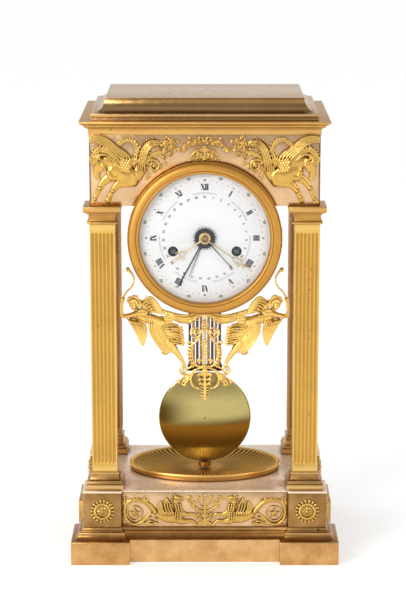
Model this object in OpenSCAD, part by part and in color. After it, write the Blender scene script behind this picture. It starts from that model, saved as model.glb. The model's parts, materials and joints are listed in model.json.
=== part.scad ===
// Portico clock: a gilt case of four fluted pillars between a stepped base and a heavy entablature.
// A drum hung from the entablature holds the movement, and a gridiron pendulum swings over a dish.
// Millimetres. Z is up, the dial faces -Y, and the origin is under the middle of the plinth.

/* [Base] */
// Width of the plinth
plinth_w = 280; // [270:1:300]
// Depth of the plinth
plinth_d = 200; // [195:1:215]
// Height of the plinth slab
plinth_h = 24.5; // [20:0.5:30]
// Height of the moulding above the slab
moulding_h = 12; // [11:0.5:14]
// Width of each projecting corner of the plinth
plinth_corner_w = 61.5; // [58:0.5:66]
// How far the corners of the plinth stand proud
plinth_break = 10; // [7:0.5:12]
// How far the dies stand in from the edge of the plinth
base_inset = 13; // [11:0.5:15]
// Width of a corner die
die_w = 39.5; // [38:0.5:44]
// Height of the dies and base panels
die_h = 38; // [34:0.5:44]
// How far the dies stand proud of the base panels
die_break = 5; // [3:0.5:7]
// Thickness of the floor plate
floor_t = 2; // [1.5:0.5:3]
// Length of the oval dish
dish_l = 163; // [150:1:166]
// Depth of the oval dish
dish_d = 112; // [100:1:116]

/* [Pillars] */
// Height from the floor to the top of the capitals
pillar_h = 301; // [296:1:308]
// Width of a fluted shaft
shaft_w = 26; // [24:0.5:28]
// Width of a pillar's foot and of its abacus
pillar_foot_w = 38.7; // [36:0.1:39.4]
// Flutes on each face of a shaft
flutes = 6; // [4:1:7]

/* [Entablature] */
// Width of the frieze
frieze_w = 234; // [230:1:238]
// Height of the frieze
frieze_h = 73; // [70:0.5:78]
// Height of the cornice
cornice_h = 14; // [12:0.5:16]
// Overhang of the cornice
cornice_out = 10; // [8:0.5:12]
// Height of the roof
roof_h = 21; // [18:0.5:26]

/* [Dial and drum] */
// Height of the dial's centre
dial_z = 344.5; // [340:0.5:348]
// Outer radius of the bezel
bezel_r = 79; // [78.5:0.5:80]
// Outer radius of the drum
drum_r = 70; // [69.5:0.5:70.5]
// Length of the drum behind the frieze's face
drum_l = 110; // [108:1:116]
// Sideways distance from the dial's centre to a winding square
winding_x = 32.5; // [32:0.5:33.5]
// Drop from the dial's centre to the winding squares
winding_drop = 14; // [13:0.5:15]
// Direction of the minute hand, in degrees clockwise from twelve
minute_angle = 124.6; // [0:0.1:359.9]
// Direction of the hour hand
hour_angle = 235.5; // [0:0.1:359.9]
// Direction of the long steel hand
year_angle = 208.5; // [0:0.1:359.9]
// Direction of the thin steel hand
date_angle = 201.8; // [0:0.1:359.9]
// Direction of the arrow-tipped steel hand
weekday_angle = 138.2; // [0:0.1:359.9]

/* [Pendulum] */
// Height of the line that the pendulum swings about
pivot_z = 396; // [394:0.5:398]
// Height of the bob's centre
bob_z = 134.5; // [133.5:0.5:138]
// Radius of the bob
bob_r = 49.5; // [45:0.5:49.5]
// Thickness of the bob at its centre
bob_t = 14; // [10:0.5:16]

/* [Hidden] */
$fn = 64;
stroke_sides = 8;
oval_sides = 64;
gilt = "#d9a548";
polished = "#dfbf95";
brass = "#b9a15c";
steel = "#8d9096";
blued = "#1d2532";
enamel = "#f6f6f2";

// Plan of the case. Depth is less than width by the same amount at every level.
plan_step = plinth_w - plinth_d;
base_w = plinth_w - 2 * base_inset;
base_d = plinth_d - 2 * base_inset;
frieze_d = frieze_w - plan_step;
shaft_proud = 0.5;
pillar_x = frieze_w / 2 - shaft_w / 2 + shaft_proud;
pillar_y = frieze_d / 2 - shaft_w / 2 + shaft_proud;
die_x = base_w / 2 - die_w / 2;
die_y = base_d / 2 - die_w / 2;
panel_y = base_d / 2 - die_break;
panel_x = base_w / 2 - die_break;
wall = 4;
face_y = -frieze_d / 2;
well_in = 35;
well_h = 2.2;

// Heights of the case
die_z = plinth_h + moulding_h;
floor_z = die_z + die_h + floor_t;
foot_h = 18.5;
capital_h = 19;
frieze_z = floor_z + pillar_h;
cornice_z = frieze_z + frieze_h;
roof_z = cornice_z + cornice_h;
shaft_z = floor_z + foot_h;
capital_z = frieze_z - capital_h;

// Tie rods and their nuts
rod_r = 3;
rod_hole_r = 3.2;
nut_r = 6;
nut_h = 4.5;
plinth_top_t = 3;
cavity_margin = 9;
cavity_z = die_z - plinth_top_t;

// Layers of the dial and hands, front to back
dial_t = 1.2;
dial_front = face_y - 1;
dial_disc_r = drum_r - 1.7;
flange_t = 1.5;
flange_r = 76;
drum_wall = 1.5;
drum_in = drum_r - drum_wall;
drum_back = face_y + drum_l;
bezel_gap = 0.3;
bezel_back = face_y - flange_t - bezel_gap;
hand_t = 0.6;
gilt_hand_t = 0.7;
year_y = dial_front - 0.6;
date_y = year_y - 0.9;
weekday_y = date_y - 0.9;
hour_y = weekday_y - 0.9;
minute_y = hour_y - 1;
collar_y = minute_y - gilt_hand_t;
centre_hole_r = 5.5;
winding_hole_r = 5.2;

// Radii of the nested pipes at the dial's centre
running_gap = 0.05;
pipe_wall = 0.75;
centre_r = 2;
hour_pipe = centre_r + running_gap;
weekday_pipe = hour_pipe + pipe_wall + running_gap;
date_pipe = weekday_pipe + pipe_wall + running_gap;
year_pipe = date_pipe + pipe_wall + running_gap;
calendar_t = 0.6;
year_wheel_y = dial_front + dial_t + 1;
date_wheel_y = year_wheel_y + 0.9;
weekday_wheel_y = date_wheel_y + 0.9;

// Depth layers of the movement
plate_t = 2.5;
plate_r = 58;
front_plate_y = face_y + 9;
back_plate_y = face_y + 46.5;
arbor_r = 1;
winding_r = 3;
hammer_r = 1.5;
centre_back_r = 1.5;
stud_r = 1;
stud_l = 6;
hour_wheel_y = front_plate_y - 3.8;
minute_wheel_y = front_plate_y - 1.4;
wheel_t = 1.2;
leaf_extra = 0.2;
second_wheel_y = front_plate_y + plate_t + 2;
third_wheel_y = second_wheel_y + wheel_t + 0.5;
escape_wheel_y = front_plate_y + plate_t + 16.7;
barrel_front = front_plate_y + plate_t + 5.5;
barrel_l = 20;
barrel_r = 23;
great_wheel_t = 2.5;
great_wheel_y = barrel_front + barrel_l + great_wheel_t;
centre_wheel_y = great_wheel_y + 3.2;

// Teeth and modules of the going train and the motion work
great_n = 80;
great_m = 0.7;
second_n = 75;
second_pinion_n = 10;
second_m = 0.5;
centre_pinion_n = 10;
centre_n = 70;
centre_m = 0.5;
third_n = 68;
third_pinion_n = 7;
third_m = 0.5;
escape_pinion_n = 7;
escape_n = 36;
escape_r = 11.5;
cannon_n = 16;
minute_n = 48;
minute_m = 0.7;
minute_pinion_n = 14;
hour_n = 56;
motion_distance = (cannon_n + minute_n) * minute_m / 2;
hour_m = 2 * motion_distance / (minute_pinion_n + hour_n);

function mesh(n1, n2, m) = (n1 + n2) * m / 2;
function heading(a, b) = atan2(b[1] - a[1], b[0] - a[0]);
// The point at distance ra from a and rb from b, to the left of the line from a to b for side = 1
function between(a, ra, b, rb, side) =
    let (d = norm(b - a), u = (b - a) / d)
    let (k = (ra * ra - rb * rb + d * d) / (2 * d), h = sqrt(ra * ra - k * k))
    a + k * u + side * h * [-u[1], u[0]];

// Arbors in the plane of the plates, measured from the dial's centre
centre_at = [0, 0];
going_at = [winding_x, -winding_drop];
strike_at = [-winding_x, -winding_drop];
second_at = between(centre_at, mesh(second_n, centre_pinion_n, second_m),
    going_at, mesh(great_n, second_pinion_n, great_m), 1);
anchor_at = [0, pivot_z - dial_z];
escape_drop = 15.5;
escape_at = anchor_at - [0, escape_drop];
third_at = between(centre_at, mesh(centre_n, third_pinion_n, centre_m),
    escape_at, mesh(third_n, escape_pinion_n, third_m), 1);
minute_wheel_at = [0, -motion_distance];
plate_pillar_at = [[-38, 38], [38, 38], [-12, -52], [12, -52]];
hammer_at = [34, -40];
bell_at = [0, -4];
bell_r = 30;
bell_y = 8;
bell_h = 16;

// Directions in which the wheels meet, and the bores that both plates have: [where, radius]
second_to_centre = heading(second_at, centre_at);
great_to_second = heading(going_at, second_at);
centre_to_third = heading(centre_at, third_at);
third_to_escape = heading(third_at, escape_at);
shared_bores = [[second_at, arbor_r], [third_at, arbor_r], [escape_at, arbor_r], [anchor_at, arbor_r],
    [going_at, winding_r], [strike_at, winding_r]];

// Bezel and glass
bezel_in = 66.8;
bezel_crown_r = 5.6;
bezel_crown_at = 72.9;
bezel_side = 4;
glass_seat = 5.7;
glass_t = 1.3;
glass_r = 69;

// Relief of the mounts on the base and on the frieze
base_mount_t = 3;
frieze_mount_t = 4;

// Pendulum
pendulum_y = -4;
grid_rods = 9;
grid_pitch = 4;
grid_rod_r = 1.4;
grid_w = 37;
grid_t = 6;
grid_bar_h = 6;
grid_top = 262;
grid_bottom = bob_z + bob_r + 2;
stem_r = 1.6;
stem_end = floor_z + 2.8;

// Hinges of the bezel and of the rear door
bezel_hinge = [77.7, face_y - 0.2];
bezel_knuckle_r = 1.4;
bezel_pin_r = 0.9;
bezel_knuckle_h = 9;
bezel_lug_h = 5.2;
door_t = 2;
door_y = drum_back + 0.3;
door_hinge = [-72.2, drum_back + 1.6];
door_knuckle_r = 1.6;
door_pin_r = 1;
door_knuckle_h = 13;
door_lug_h = 7.7;
knuckle_gap = 0.3;

// Apron hung under the drum
apron_y = -28;
apron_t = 3;
figure_t = 5;

// Shapes shared by the case

// A solid skinned over rings of points, each ring anticlockwise from above
module skin(rings) {
    n = len(rings[0]);
    sides = [for (k = [0 : len(rings) - 2], i = [0 : n - 1])
        [k * n + i, (k + 1) * n + i, (k + 1) * n + (i + 1) % n, k * n + (i + 1) % n]];
    bottom = [for (i = [0 : n - 1]) i];
    top = [for (i = [n - 1 : -1 : 0]) (len(rings) - 1) * n + i];
    polyhedron([for (r = rings) each r], concat([bottom, top], sides));
}

function box_ring(x0, x1, y0, y1, z) = [[x0, y0, z], [x1, y0, z], [x1, y1, z], [x0, y1, z]];
function rectangle(w, d, z) = box_ring(-w / 2, w / 2, -d / 2, d / 2, z);
function oval(a, b, z) =
    [for (i = [0 : oval_sides - 1]) let (t = 360 * i / oval_sides) [a * cos(t), b * sin(t), z]];
// An oval of the dish's shape, out from its edge
function dish_oval(out, z) = let (r = dish_l / 2 + out) oval(r, r * dish_d / dish_l, z);

// A moulding round a rectangle: each step of the profile is how far it stands out and its height
module moulded(w, d, z, profile)
    skin([for (p = profile) rectangle(w + 2 * p[0], d + 2 * p[0], z + p[1])]);

// Outline with four proud corners: bx and by are where the corners end, r is how far they stand out
function broken(w, d, bx, by, r) = let (W = w / 2, D = d / 2) [
    [-W, -D], [-bx, -D], [-bx, r - D], [bx, r - D], [bx, -D],
    [W, -D], [W, -by], [W - r, -by], [W - r, by], [W, by],
    [W, D], [bx, D], [bx, D - r], [-bx, D - r], [-bx, D],
    [-W, D], [-W, by], [r - W, by], [r - W, -by], [-W, -by]
];

module at_pillars() {
    for (sx = [-1, 1], sy = [-1, 1])
        translate([sx * pillar_x, sy * pillar_y, 0])
            children();
}

module rod_holes(z0, z1) {
    at_pillars()
        translate([0, 0, z0])
            cylinder(r = rod_hole_r, h = z1 - z0);
}

module block(x0, x1, y0, y1, z0, z1) {
    translate([x0, y0, z0])
        cube([x1 - x0, y1 - y0, z1 - z0]);
}

// A flat outline drawn as seen from the front, from depth y0 back to y1
module slice(y0, y1) {
    translate([0, y1, 0])
        rotate([90, 0, 0])
            linear_extrude(y1 - y0)
                children();
}

// The same, with the outline's origin at the dial's centre
module dial_slice(y0, y1) {
    translate([0, 0, dial_z])
        slice(y0, y1)
            children();
}

module disc(r, at, y0, y1) {
    dial_slice(y0, y1)
        translate(at)
            circle(r);
}

module ring(r_out, r_in, y0, y1) {
    dial_slice(y0, y1)
        difference() {
            circle(r_out);
            circle(r_in);
        }
}

// A line of cast ornament through points [x, z, half width]
module stroke(points) {
    for (i = [0 : len(points) - 2])
        hull()
            for (p = [points[i], points[i + 1]])
                translate([p[0], p[1]])
                    circle(p[2], $fn = stroke_sides);
}

module dot(p)
    translate([p[0], p[1]])
        circle(p[2], $fn = stroke_sides);

// A scroll: the line turns in from radius r0 to r1 about the middle
function scroll(at, r0, r1, a0, turns, w0, w1) = let (steps = ceil(abs(turns) * 12)) [
    for (i = [0 : steps]) let (k = i / steps, a = a0 + 360 * turns * k, r = r0 + (r1 - r0) * k)
        [at[0] + r * cos(a), at[1] + r * sin(a), w0 + (w1 - w0) * k]
];

// Base

// The slab and its moulding: the proud corners and the middle draw in from the slab to the dies
module plinth() {
    // Height, and how far the outline has drawn in: 0 at the slab and 1 at the dies
    cavetto = [[0, 0], [plinth_h, 0], [plinth_h + 0.8, 0.25], [plinth_h + 2.3, 0.42], [plinth_h + 4.5, 0.54],
        [plinth_h + 6.6, 0.6], [plinth_h + 8.5, 0.6], [plinth_h + 8.9, 0.8], [die_z, 0.92]];
    inner_x = plinth_w / 2 - plinth_corner_w;
    inner_y = plinth_d / 2 - plinth_corner_w;
    inner_step = plinth_corner_w - base_inset - die_w;
    middle_step = base_inset - plinth_break + die_break;
    color(gilt)
        difference() {
            union() {
                moulded(plinth_w - 2 * plinth_break, plinth_d - 2 * plinth_break, 0,
                    [for (c = cavetto) [-middle_step * c[1], c[0]]]);
                for (sx = [0, 1], sy = [0, 1])
                    mirror([sx, 0, 0])
                        mirror([0, sy, 0])
                            skin([for (c = cavetto)
                                box_ring(inner_x + inner_step * c[1], plinth_w / 2 - base_inset * c[1],
                                    inner_y + inner_step * c[1], plinth_d / 2 - base_inset * c[1], c[0])]);
            }
            block(cavity_margin - base_w / 2, base_w / 2 - cavity_margin,
                cavity_margin - base_d / 2, base_d / 2 - cavity_margin, -1, cavity_z);
            rod_holes(cavity_z - 1, die_z + 1);
        }
}

module corner_dies() {
    color(polished)
        difference() {
            for (sx = [-1, 1], sy = [-1, 1])
                translate([sx * die_x - die_w / 2, sy * die_y - die_w / 2, die_z])
                    cube([die_w, die_w, die_h]);
            rod_holes(die_z - 1, die_z + die_h + 1);
        }
}

module base_panels() {
    color(polished) {
        for (y = [-panel_y, panel_y - wall])
            block(die_w - base_w / 2, base_w / 2 - die_w, y, y + wall, die_z, die_z + die_h);
        for (s = [-1, 1])
            block(min(s * panel_x, s * (panel_x - wall)), max(s * panel_x, s * (panel_x - wall)),
                die_w - base_d / 2, base_d / 2 - die_w, die_z, die_z + die_h);
    }
}

module floor_plate() {
    lip = 0.8;
    color(polished)
        difference() {
            translate([0, 0, floor_z - floor_t])
                linear_extrude(floor_t)
                    polygon(broken(base_w + 2 * lip, base_d + 2 * lip,
                        base_w / 2 - die_w - lip, base_d / 2 - die_w - lip, die_break));
            rod_holes(floor_z - floor_t - 1, floor_z + 1);
        }
}

// A rosette of petals round a raised ring and a boss, on the face z = 0
module rosette() {
    petals = 14;
    petal_ring = 10;
    petal_r = 2.4;
    rotate_extrude()
        polygon([[0, 0], [10.5, 0], [10.5, 1.8], [8.6, 2.2], [8, 4.2], [6.6, 4.4], [5.8, 2.8],
            [4.4, 3.4], [2.5, 5], [0, 5.4]]);
    for (i = [0 : petals - 1])
        rotate(360 * i / petals)
            translate([petal_ring, 0, 0])
                cylinder(r = petal_r, h = 2.2);
}

module base_rosettes() {
    rosette_z = die_z + die_h / 2 - 0.5;
    color(gilt)
        for (s = [-1, 1]) {
            translate([s * die_x, -base_d / 2, rosette_z])
                rotate([90, 0, 0])
                    rosette();
            for (t = [-1, 1])
                translate([s * base_w / 2, t * die_y, rosette_z])
                    rotate([0, s * 90, 0])
                        rosette();
        }
}

// Outline of the left griffin and its scrolling tail, from the foot of the panel
module griffin() {
    stroke([[-24, 13, 5.5], [-35, 11.5, 6], [-45, 15, 4.5], [-50, 20.5, 3.2], [-56, 26.5, 2.6],
        [-62, 30.5, 2.6], [-71, 32, 2.6], [-79, 28, 2.4], [-83.5, 20, 2.2], [-82, 9, 2.2],
        [-75, 3.5, 2], [-66.5, 4.5, 1.8], [-61.5, 11, 1.6]]);
    stroke([[-25, 15, 5], [-29, 25, 4], [-29.5, 32.5, 3.2], [-22, 31.8, 1.2]]);
    stroke([[-30, 33, 2], [-28.5, 36, 0.9]]);
    stroke([[-38, 14, 4], [-43, 23, 5], [-40, 30, 3.6], [-37.5, 34, 1.5]]);
    stroke([[-20, 13, 3], [-12.5, 15, 1.8], [-7, 12.5, 1.5]]);
    stroke([[-20, 6.5, 2.8], [-11, 7.5, 1.8], [-8, 3.5, 1.8]]);
    stroke(scroll([-72, 16.5], 9, 5, 45, 1.2, 1.3, 1.6));
    dot([-72, 16.5, 5.5]);
    stroke([[-64, 9, 1.8], [-56, 9, 2.4], [-50, 2.5, 1.8]]);
    stroke([[-58, 9, 2], [-53, 15, 1.6]]);
    stroke([[-60, 7, 2], [-57.5, 2.5, 1.6]]);
    stroke([[-83.5, 22, 2], [-85, 33, 1.4]]);
    stroke([[-62, 30, 2.2], [-60, 36, 1.2]]);
}

module palmette() {
    stroke([[0, 2, 2.4], [0, 22, 2], [0, 34.5, 1.6]]);
    for (s = [-1, 1]) {
        stroke([[0, 4, 2], [s * 5, 5, 1.2]]);
        stroke([[0, 12, 1.6], [s * 4.5, 20, 1.4], [s * 11, 24.5, 1.4], [s * 13, 29, 1.3]]);
        stroke(scroll([s * 14.6, 31], 2.8, 1.6, s > 0 ? 200 : -20, -s * 0.9, 1.1, 0.9));
        stroke([[0, 20, 1.6], [s * 5, 27, 1.3], [s * 6.5, 34, 1.2]]);
        stroke([[s * 11, 24.5, 1.3], [s * 8, 30, 1.3]]);
    }
}

module griffin_mount_left() {
    color(gilt)
        translate([0, 0, die_z])
            slice(-panel_y - base_mount_t, -panel_y)
                griffin();
}

module griffin_mount_right() {
    mirror([1, 0, 0])
        griffin_mount_left();
}

module palmette_mount() {
    color(gilt)
        translate([0, 0, die_z])
            slice(-panel_y - base_mount_t, -panel_y)
                difference() {
                    palmette();
                    for (s = [0, 1])
                        mirror([s, 0])
                            griffin();
                }
}

// The raised border of the oval dish under the bob, open in the middle
module dish() {
    profile = [[-1, 0], [0, 1], [0, 7.4], [-0.6, 8], [-1.2, 8], [-2.1, 7.1], [-8.5, 6.4], [-34, well_h]];
    color(brass)
        translate([0, 0, floor_z])
            difference() {
                skin([for (p = profile) dish_oval(p[0], p[1])]);
                skin([dish_oval(-well_in, -1), dish_oval(-well_in, well_h + 1)]);
            }
}

// The flat middle of the dish
module dish_well() {
    color(brass)
        translate([0, 0, floor_z])
            skin([dish_oval(-well_in, 0), dish_oval(-well_in, well_h)]);
}

// Pillars

module pillar_feet() {
    half = pillar_foot_w / 2;
    profile = [[half, 0], [half, 6.2], [half - 0.8, 6.6], [half - 0.8, 8.2], [half - 1.8, 8.6],
        [half - 3.6, 10.6], [half - 4.6, 13.2], [half - 5.1, 16.6], [half - 4.5, 16.9], [half - 4.5, foot_h]];
    color(gilt)
        difference() {
            at_pillars()
                moulded(0, 0, floor_z, profile);
            rod_holes(floor_z - 1, shaft_z + 1);
        }
}

// Two hollow square shafts, fluted on their four faces
module pillar_shafts(sy) {
    plain_foot = 9;
    plain_head = 8.5;
    hollow_w = 18;
    border = 1.2;
    pitch = (shaft_w - 2 * border) / flutes;
    flute_r = pitch / 2 - 0.35;
    flute_out = 0.3;
    first_flute = border + pitch / 2 - shaft_w / 2;
    shaft_h = capital_z - shaft_z;
    color(gilt)
        for (sx = [-1, 1])
            translate([sx * pillar_x, sy * pillar_y, shaft_z])
                difference() {
                    block(-shaft_w / 2, shaft_w / 2, -shaft_w / 2, shaft_w / 2, 0, shaft_h);
                    block(-hollow_w / 2, hollow_w / 2, -hollow_w / 2, hollow_w / 2, -1, shaft_h + 1);
                    for (side = [0 : 3], i = [0 : flutes - 1])
                        rotate(90 * side)
                            translate([first_flute + pitch * i, -shaft_w / 2 - flute_out, plain_foot])
                                cylinder(r = flute_r, h = shaft_h - plain_foot - plain_head);
                }
}

module pillar_capitals() {
    half = pillar_foot_w / 2;
    neck = shaft_w / 2 + 0.6;
    profile = [[neck, 0], [neck + 2, 0.8], [neck + 2, 2.6], [neck + 0.4, 3.4], [neck, 4], [neck + 0.2, 10],
        [neck + 1.6, 10.6], [neck + 1.6, 11.6], [half - 1.9, 13.2],
        [half - 0.4, 14.6], [half, 15], [half, capital_h]];
    color(gilt)
        difference() {
            at_pillars()
                moulded(0, 0, capital_z, profile);
            rod_holes(capital_z - 1, frieze_z + 1);
        }
}

module tie_rods() {
    rod_end = 3;
    color(steel)
        at_pillars()
            translate([0, 0, cavity_z - nut_h - rod_end])
                cylinder(r = rod_r, h = roof_z - cavity_z + 2 * nut_h + rod_end);
}

module tie_rod_nuts() {
    color(steel)
        at_pillars()
            for (z = [cavity_z - nut_h, roof_z])
                translate([0, 0, z])
                    difference() {
                        cylinder(r = nut_r, h = nut_h, $fn = 6);
                        translate([0, 0, -1])
                            cylinder(r = rod_r + 0.1, h = nut_h + 2);
                    }
}

// Entablature

module frieze_front() {
    drum_fit = 0.3;
    color(polished)
        difference() {
            block(-frieze_w / 2, frieze_w / 2, face_y, face_y + wall, frieze_z, cornice_z);
            disc(drum_r + drum_fit, centre_at, face_y - 1, face_y + wall + 1);
        }
}

module frieze_panels() {
    access_w = 164;
    access_h = 47.5;
    color(polished) {
        difference() {
            block(-frieze_w / 2, frieze_w / 2, -face_y - wall, -face_y, frieze_z, cornice_z);
            block(-access_w / 2, access_w / 2, -face_y - wall - 1, 1 - face_y,
                frieze_z - 1, frieze_z + access_h);
        }
        for (s = [0, 1])
            mirror([s, 0, 0])
                block(frieze_w / 2 - wall, frieze_w / 2, face_y + wall, -face_y - wall, frieze_z, cornice_z);
    }
}

// Outline of the left winged sea-horse and its foliate tail, from the foot of the frieze
module sea_horse() {
    stroke([[-93.5, 38, 10], [-82, 34.5, 11], [-72, 30, 8], [-68, 33, 6], [-63, 42.5, 5],
        [-60, 54.5, 4.6], [-56, 62.5, 4.4], [-50, 66.5, 3.8], [-42, 65, 3.4]]);
    stroke([[-83, 42, 9], [-94.5, 48, 8.5], [-103.5, 50.5, 6.2], [-108, 45, 5],
        [-110, 38, 3.6], [-108.5, 32.5, 2.6]]);
    stroke([[-104, 56, 5], [-110, 58, 3], [-108.5, 63, 2]]);
    stroke([[-93, 30, 5.5], [-103.5, 24.5, 3.6], [-108, 17, 2.8], [-110.5, 10, 2.4], [-112.5, 5.5, 3]]);
    stroke([[-71, 24, 4.5], [-82, 23.5, 4], [-88, 21.5, 3.4],
        [-93.5, 15, 2.8], [-97, 9, 2.6], [-99, 5.5, 3]]);
    stroke([[-78, 43, 8], [-85.5, 56, 6.8], [-94.5, 65, 5.4], [-103.5, 69, 3.8], [-112.5, 69, 2.6]]);
    stroke([[-68, 46, 2.2], [-66.5, 57, 2.2], [-69, 65.5, 2.2], [-76, 70, 2.2], [-84, 67, 2.2]]);
    stroke(scroll([-50, 44.5], 7, 2.5, 60, -1.3, 1.9, 1.4));
    stroke([[-52, 56, 3], [-46.5, 50.5, 2.2]]);
    stroke([[-60, 42, 2], [-57, 37, 1.4], [-56, 31.5, 1.4]]);
    stroke([[-46, 60, 4], [-37, 60, 4.4], [-33, 68, 3.2], [-28.5, 71, 1.4]]);
    stroke([[-40, 60, 4], [-36.5, 52.5, 3.6], [-32.5, 49, 1.6]]);
}

module garland() {
    for (s = [-1, 1]) {
        stroke([[s * 30, 60.5, 2], [s * 25.5, 58, 2.2], [s * 19.5, 62, 2.6], [s * 14, 67, 3],
            [s * 8, 66, 2], [0, 69.5, 2]]);
        stroke([[0, 67, 2], [s * 3.5, 70.5, 1.6]]);
        stroke(scroll([s * 8, 53], 3.6, 1.8, 90, s * 1.1, 1.6, 1.3));
        stroke([[s * 7, 56.5, 1.8], [0, 53, 2.2]]);
        stroke([[0, 51, 2.2], [s * 5, 62, 1.6]]);
    }
    stroke([[0, 50, 2.2], [0, 69, 2]]);
}

module sea_horse_mount_left() {
    color(gilt)
        translate([0, 0, frieze_z])
            slice(face_y - frieze_mount_t, face_y)
                difference() {
                    sea_horse();
                    garland();
                }
}

module sea_horse_mount_right() {
    mirror([1, 0, 0])
        sea_horse_mount_left();
}

module garland_mount() {
    color(gilt)
        translate([0, 0, frieze_z])
            slice(face_y - frieze_mount_t, face_y)
                garland();
}

module cornice() {
    profile = [[0.8, 0], [0.8, 6], [2, 6.3], [2.8, 8], [4.6, 10], [cornice_out - 2, cornice_h - 2.4],
        [cornice_out, cornice_h - 2.1], [cornice_out, cornice_h]];
    pocket = 5;
    color(gilt)
        difference() {
            moulded(frieze_w, frieze_d, cornice_z, profile);
            block(pocket - frieze_w / 2, frieze_w / 2 - pocket,
                pocket + face_y, -pocket - face_y, cornice_z - 1, roof_z - 3);
            rod_holes(roof_z - 4, roof_z + 1);
        }
}

module roof_cap() {
    fillet_h = 6.5;
    sweep_in = 14.4;
    steps = 6;
    fillet = [[-1.8, 0], [-1.8, 2], [-2.4, 2.2], [-2.4, 3.8], [-1.6, 4.2], [-1.6, fillet_h]];
    sweep = [for (i = [1 : steps]) let (a = 90 * i / steps)
        [-1.6 - sweep_in * sin(a), fillet_h + (roof_h - fillet_h) * (1 - cos(a))]];
    pocket = 5;
    crown_pocket = 22;
    color(gilt)
        difference() {
            moulded(frieze_w, frieze_d, roof_z, concat(fillet, sweep));
            block(pocket - frieze_w / 2, frieze_w / 2 - pocket,
                pocket + face_y, -pocket - face_y, roof_z - 1, roof_z + nut_h + 0.5);
            block(crown_pocket - frieze_w / 2, frieze_w / 2 - crown_pocket,
                crown_pocket + face_y, -crown_pocket - face_y, roof_z, roof_z + roof_h - 3);
        }
}

// Drum, dial and doors

// A knuckle about a vertical pin, with its middle at the dial's height
module knuckle(at, r, pin, z0, z1) {
    translate([at[0], at[1], dial_z + z0])
        difference() {
            cylinder(r = r, h = z1 - z0);
            translate([0, 0, -1])
                cylinder(r = pin + running_gap, h = z1 - z0 + 2);
        }
}

module drum_case() {
    slot_w = 26;
    slot_y0 = pendulum_y - 7;
    slot_y1 = pendulum_y + 7;
    rear_lip_r = 62;
    color(brass)
        difference() {
            union() {
                ring(drum_r, drum_in, face_y - flange_t, drum_back);
                ring(flange_r, drum_in, face_y - flange_t, face_y);
                ring(drum_r - 0.5, rear_lip_r, drum_back - flange_t, drum_back);
                for (s = [-1, 1]) {
                    bezel_lug_z = dial_z + s * (bezel_knuckle_h + bezel_lug_h) / 2 + s * knuckle_gap;
                    translate([0, 0, bezel_lug_z]) {
                        translate([bezel_hinge[0], bezel_hinge[1], -bezel_lug_h / 2])
                            cylinder(r = bezel_knuckle_r, h = bezel_lug_h);
                        block(flange_r - 1.5, bezel_hinge[0], face_y - flange_t, face_y + 0.8,
                            -bezel_lug_h / 2, bezel_lug_h / 2);
                    }
                    door_lug_z = dial_z + s * (door_knuckle_h + door_lug_h) / 2 + s * knuckle_gap;
                    translate([0, 0, door_lug_z]) {
                        translate([door_hinge[0], door_hinge[1], -door_lug_h / 2])
                            cylinder(r = door_knuckle_r, h = door_lug_h);
                        block(door_hinge[0] - door_knuckle_r, -70.4, drum_back - 4, door_hinge[1],
                            -door_lug_h / 2, door_lug_h / 2);
                        block(door_hinge[0] - door_knuckle_r, 0.3 - drum_in, drum_back - 4, drum_back - 0.1,
                            -door_lug_h / 2, door_lug_h / 2);
                    }
                }
            }
            block(-slot_w / 2, slot_w / 2, slot_y0, slot_y1, dial_z - drum_r - 1, dial_z - drum_r + 10);
            translate([bezel_hinge[0], bezel_hinge[1], dial_z - 20])
                cylinder(r = bezel_pin_r + running_gap, h = 40);
            translate([door_hinge[0], door_hinge[1], dial_z - 20])
                cylinder(r = door_pin_r + running_gap, h = 40);
        }
}

module hinge_pins() {
    bezel_pin_l = bezel_knuckle_h + 2 * (bezel_lug_h + knuckle_gap);
    door_pin_l = door_knuckle_h + 2 * (door_lug_h + knuckle_gap);
    color(steel) {
        translate([bezel_hinge[0], bezel_hinge[1], dial_z - bezel_pin_l / 2])
            cylinder(r = bezel_pin_r, h = bezel_pin_l);
        translate([door_hinge[0], door_hinge[1], dial_z - door_pin_l / 2])
            cylinder(r = door_pin_r, h = door_pin_l);
    }
}

module dial() {
    feet_at = [[-44, 25], [44, 25]];
    foot_r = 1.5;
    color(enamel) {
        for (at = feet_at)
            disc(foot_r, at, dial_front + dial_t, front_plate_y);
        dial_slice(dial_front, dial_front + dial_t)
            difference() {
                circle(dial_disc_r);
                circle(centre_hole_r);
                for (at = [going_at, strike_at])
                    translate(at)
                        circle(winding_hole_r);
            }
    }
}

// Half-round ring that carries the glass
module bezel_ring() {
    crown = [for (a = [0 : 15 : 180])
        [bezel_crown_at + bezel_crown_r * cos(a), bezel_side + bezel_crown_r * sin(a)]];
    lug = bezel_knuckle_h / 2;
    color(gilt) {
        translate([0, bezel_back, dial_z])
            rotate([90, 0, 0])
                rotate_extrude($fn = 96)
                    difference() {
                        polygon(concat([[bezel_in, 0], [bezel_r, 0], [bezel_r, bezel_side - 0.8]], crown,
                            [[bezel_in, bezel_side - 0.6]]));
                        translate([bezel_in - 5, glass_seat])
                            square([glass_r + 0.1 - bezel_in + 5, glass_t + 0.2]);
                    }
        knuckle(bezel_hinge, bezel_knuckle_r, bezel_pin_r, -lug, lug);
        difference() {
            block(bezel_hinge[0] - 1.2, bezel_r - 0.4, bezel_back - 1, bezel_hinge[1],
                dial_z - lug, dial_z + lug);
            translate([bezel_hinge[0], bezel_hinge[1], dial_z - 20])
                cylinder(r = bezel_pin_r + running_gap, h = 40);
        }
    }
}

module bezel_glass() {
    color("#dfe8ee", 0.3)
        disc(glass_r, centre_at, bezel_back - glass_seat - glass_t - 0.1, bezel_back - glass_seat - 0.1);
}

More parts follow.
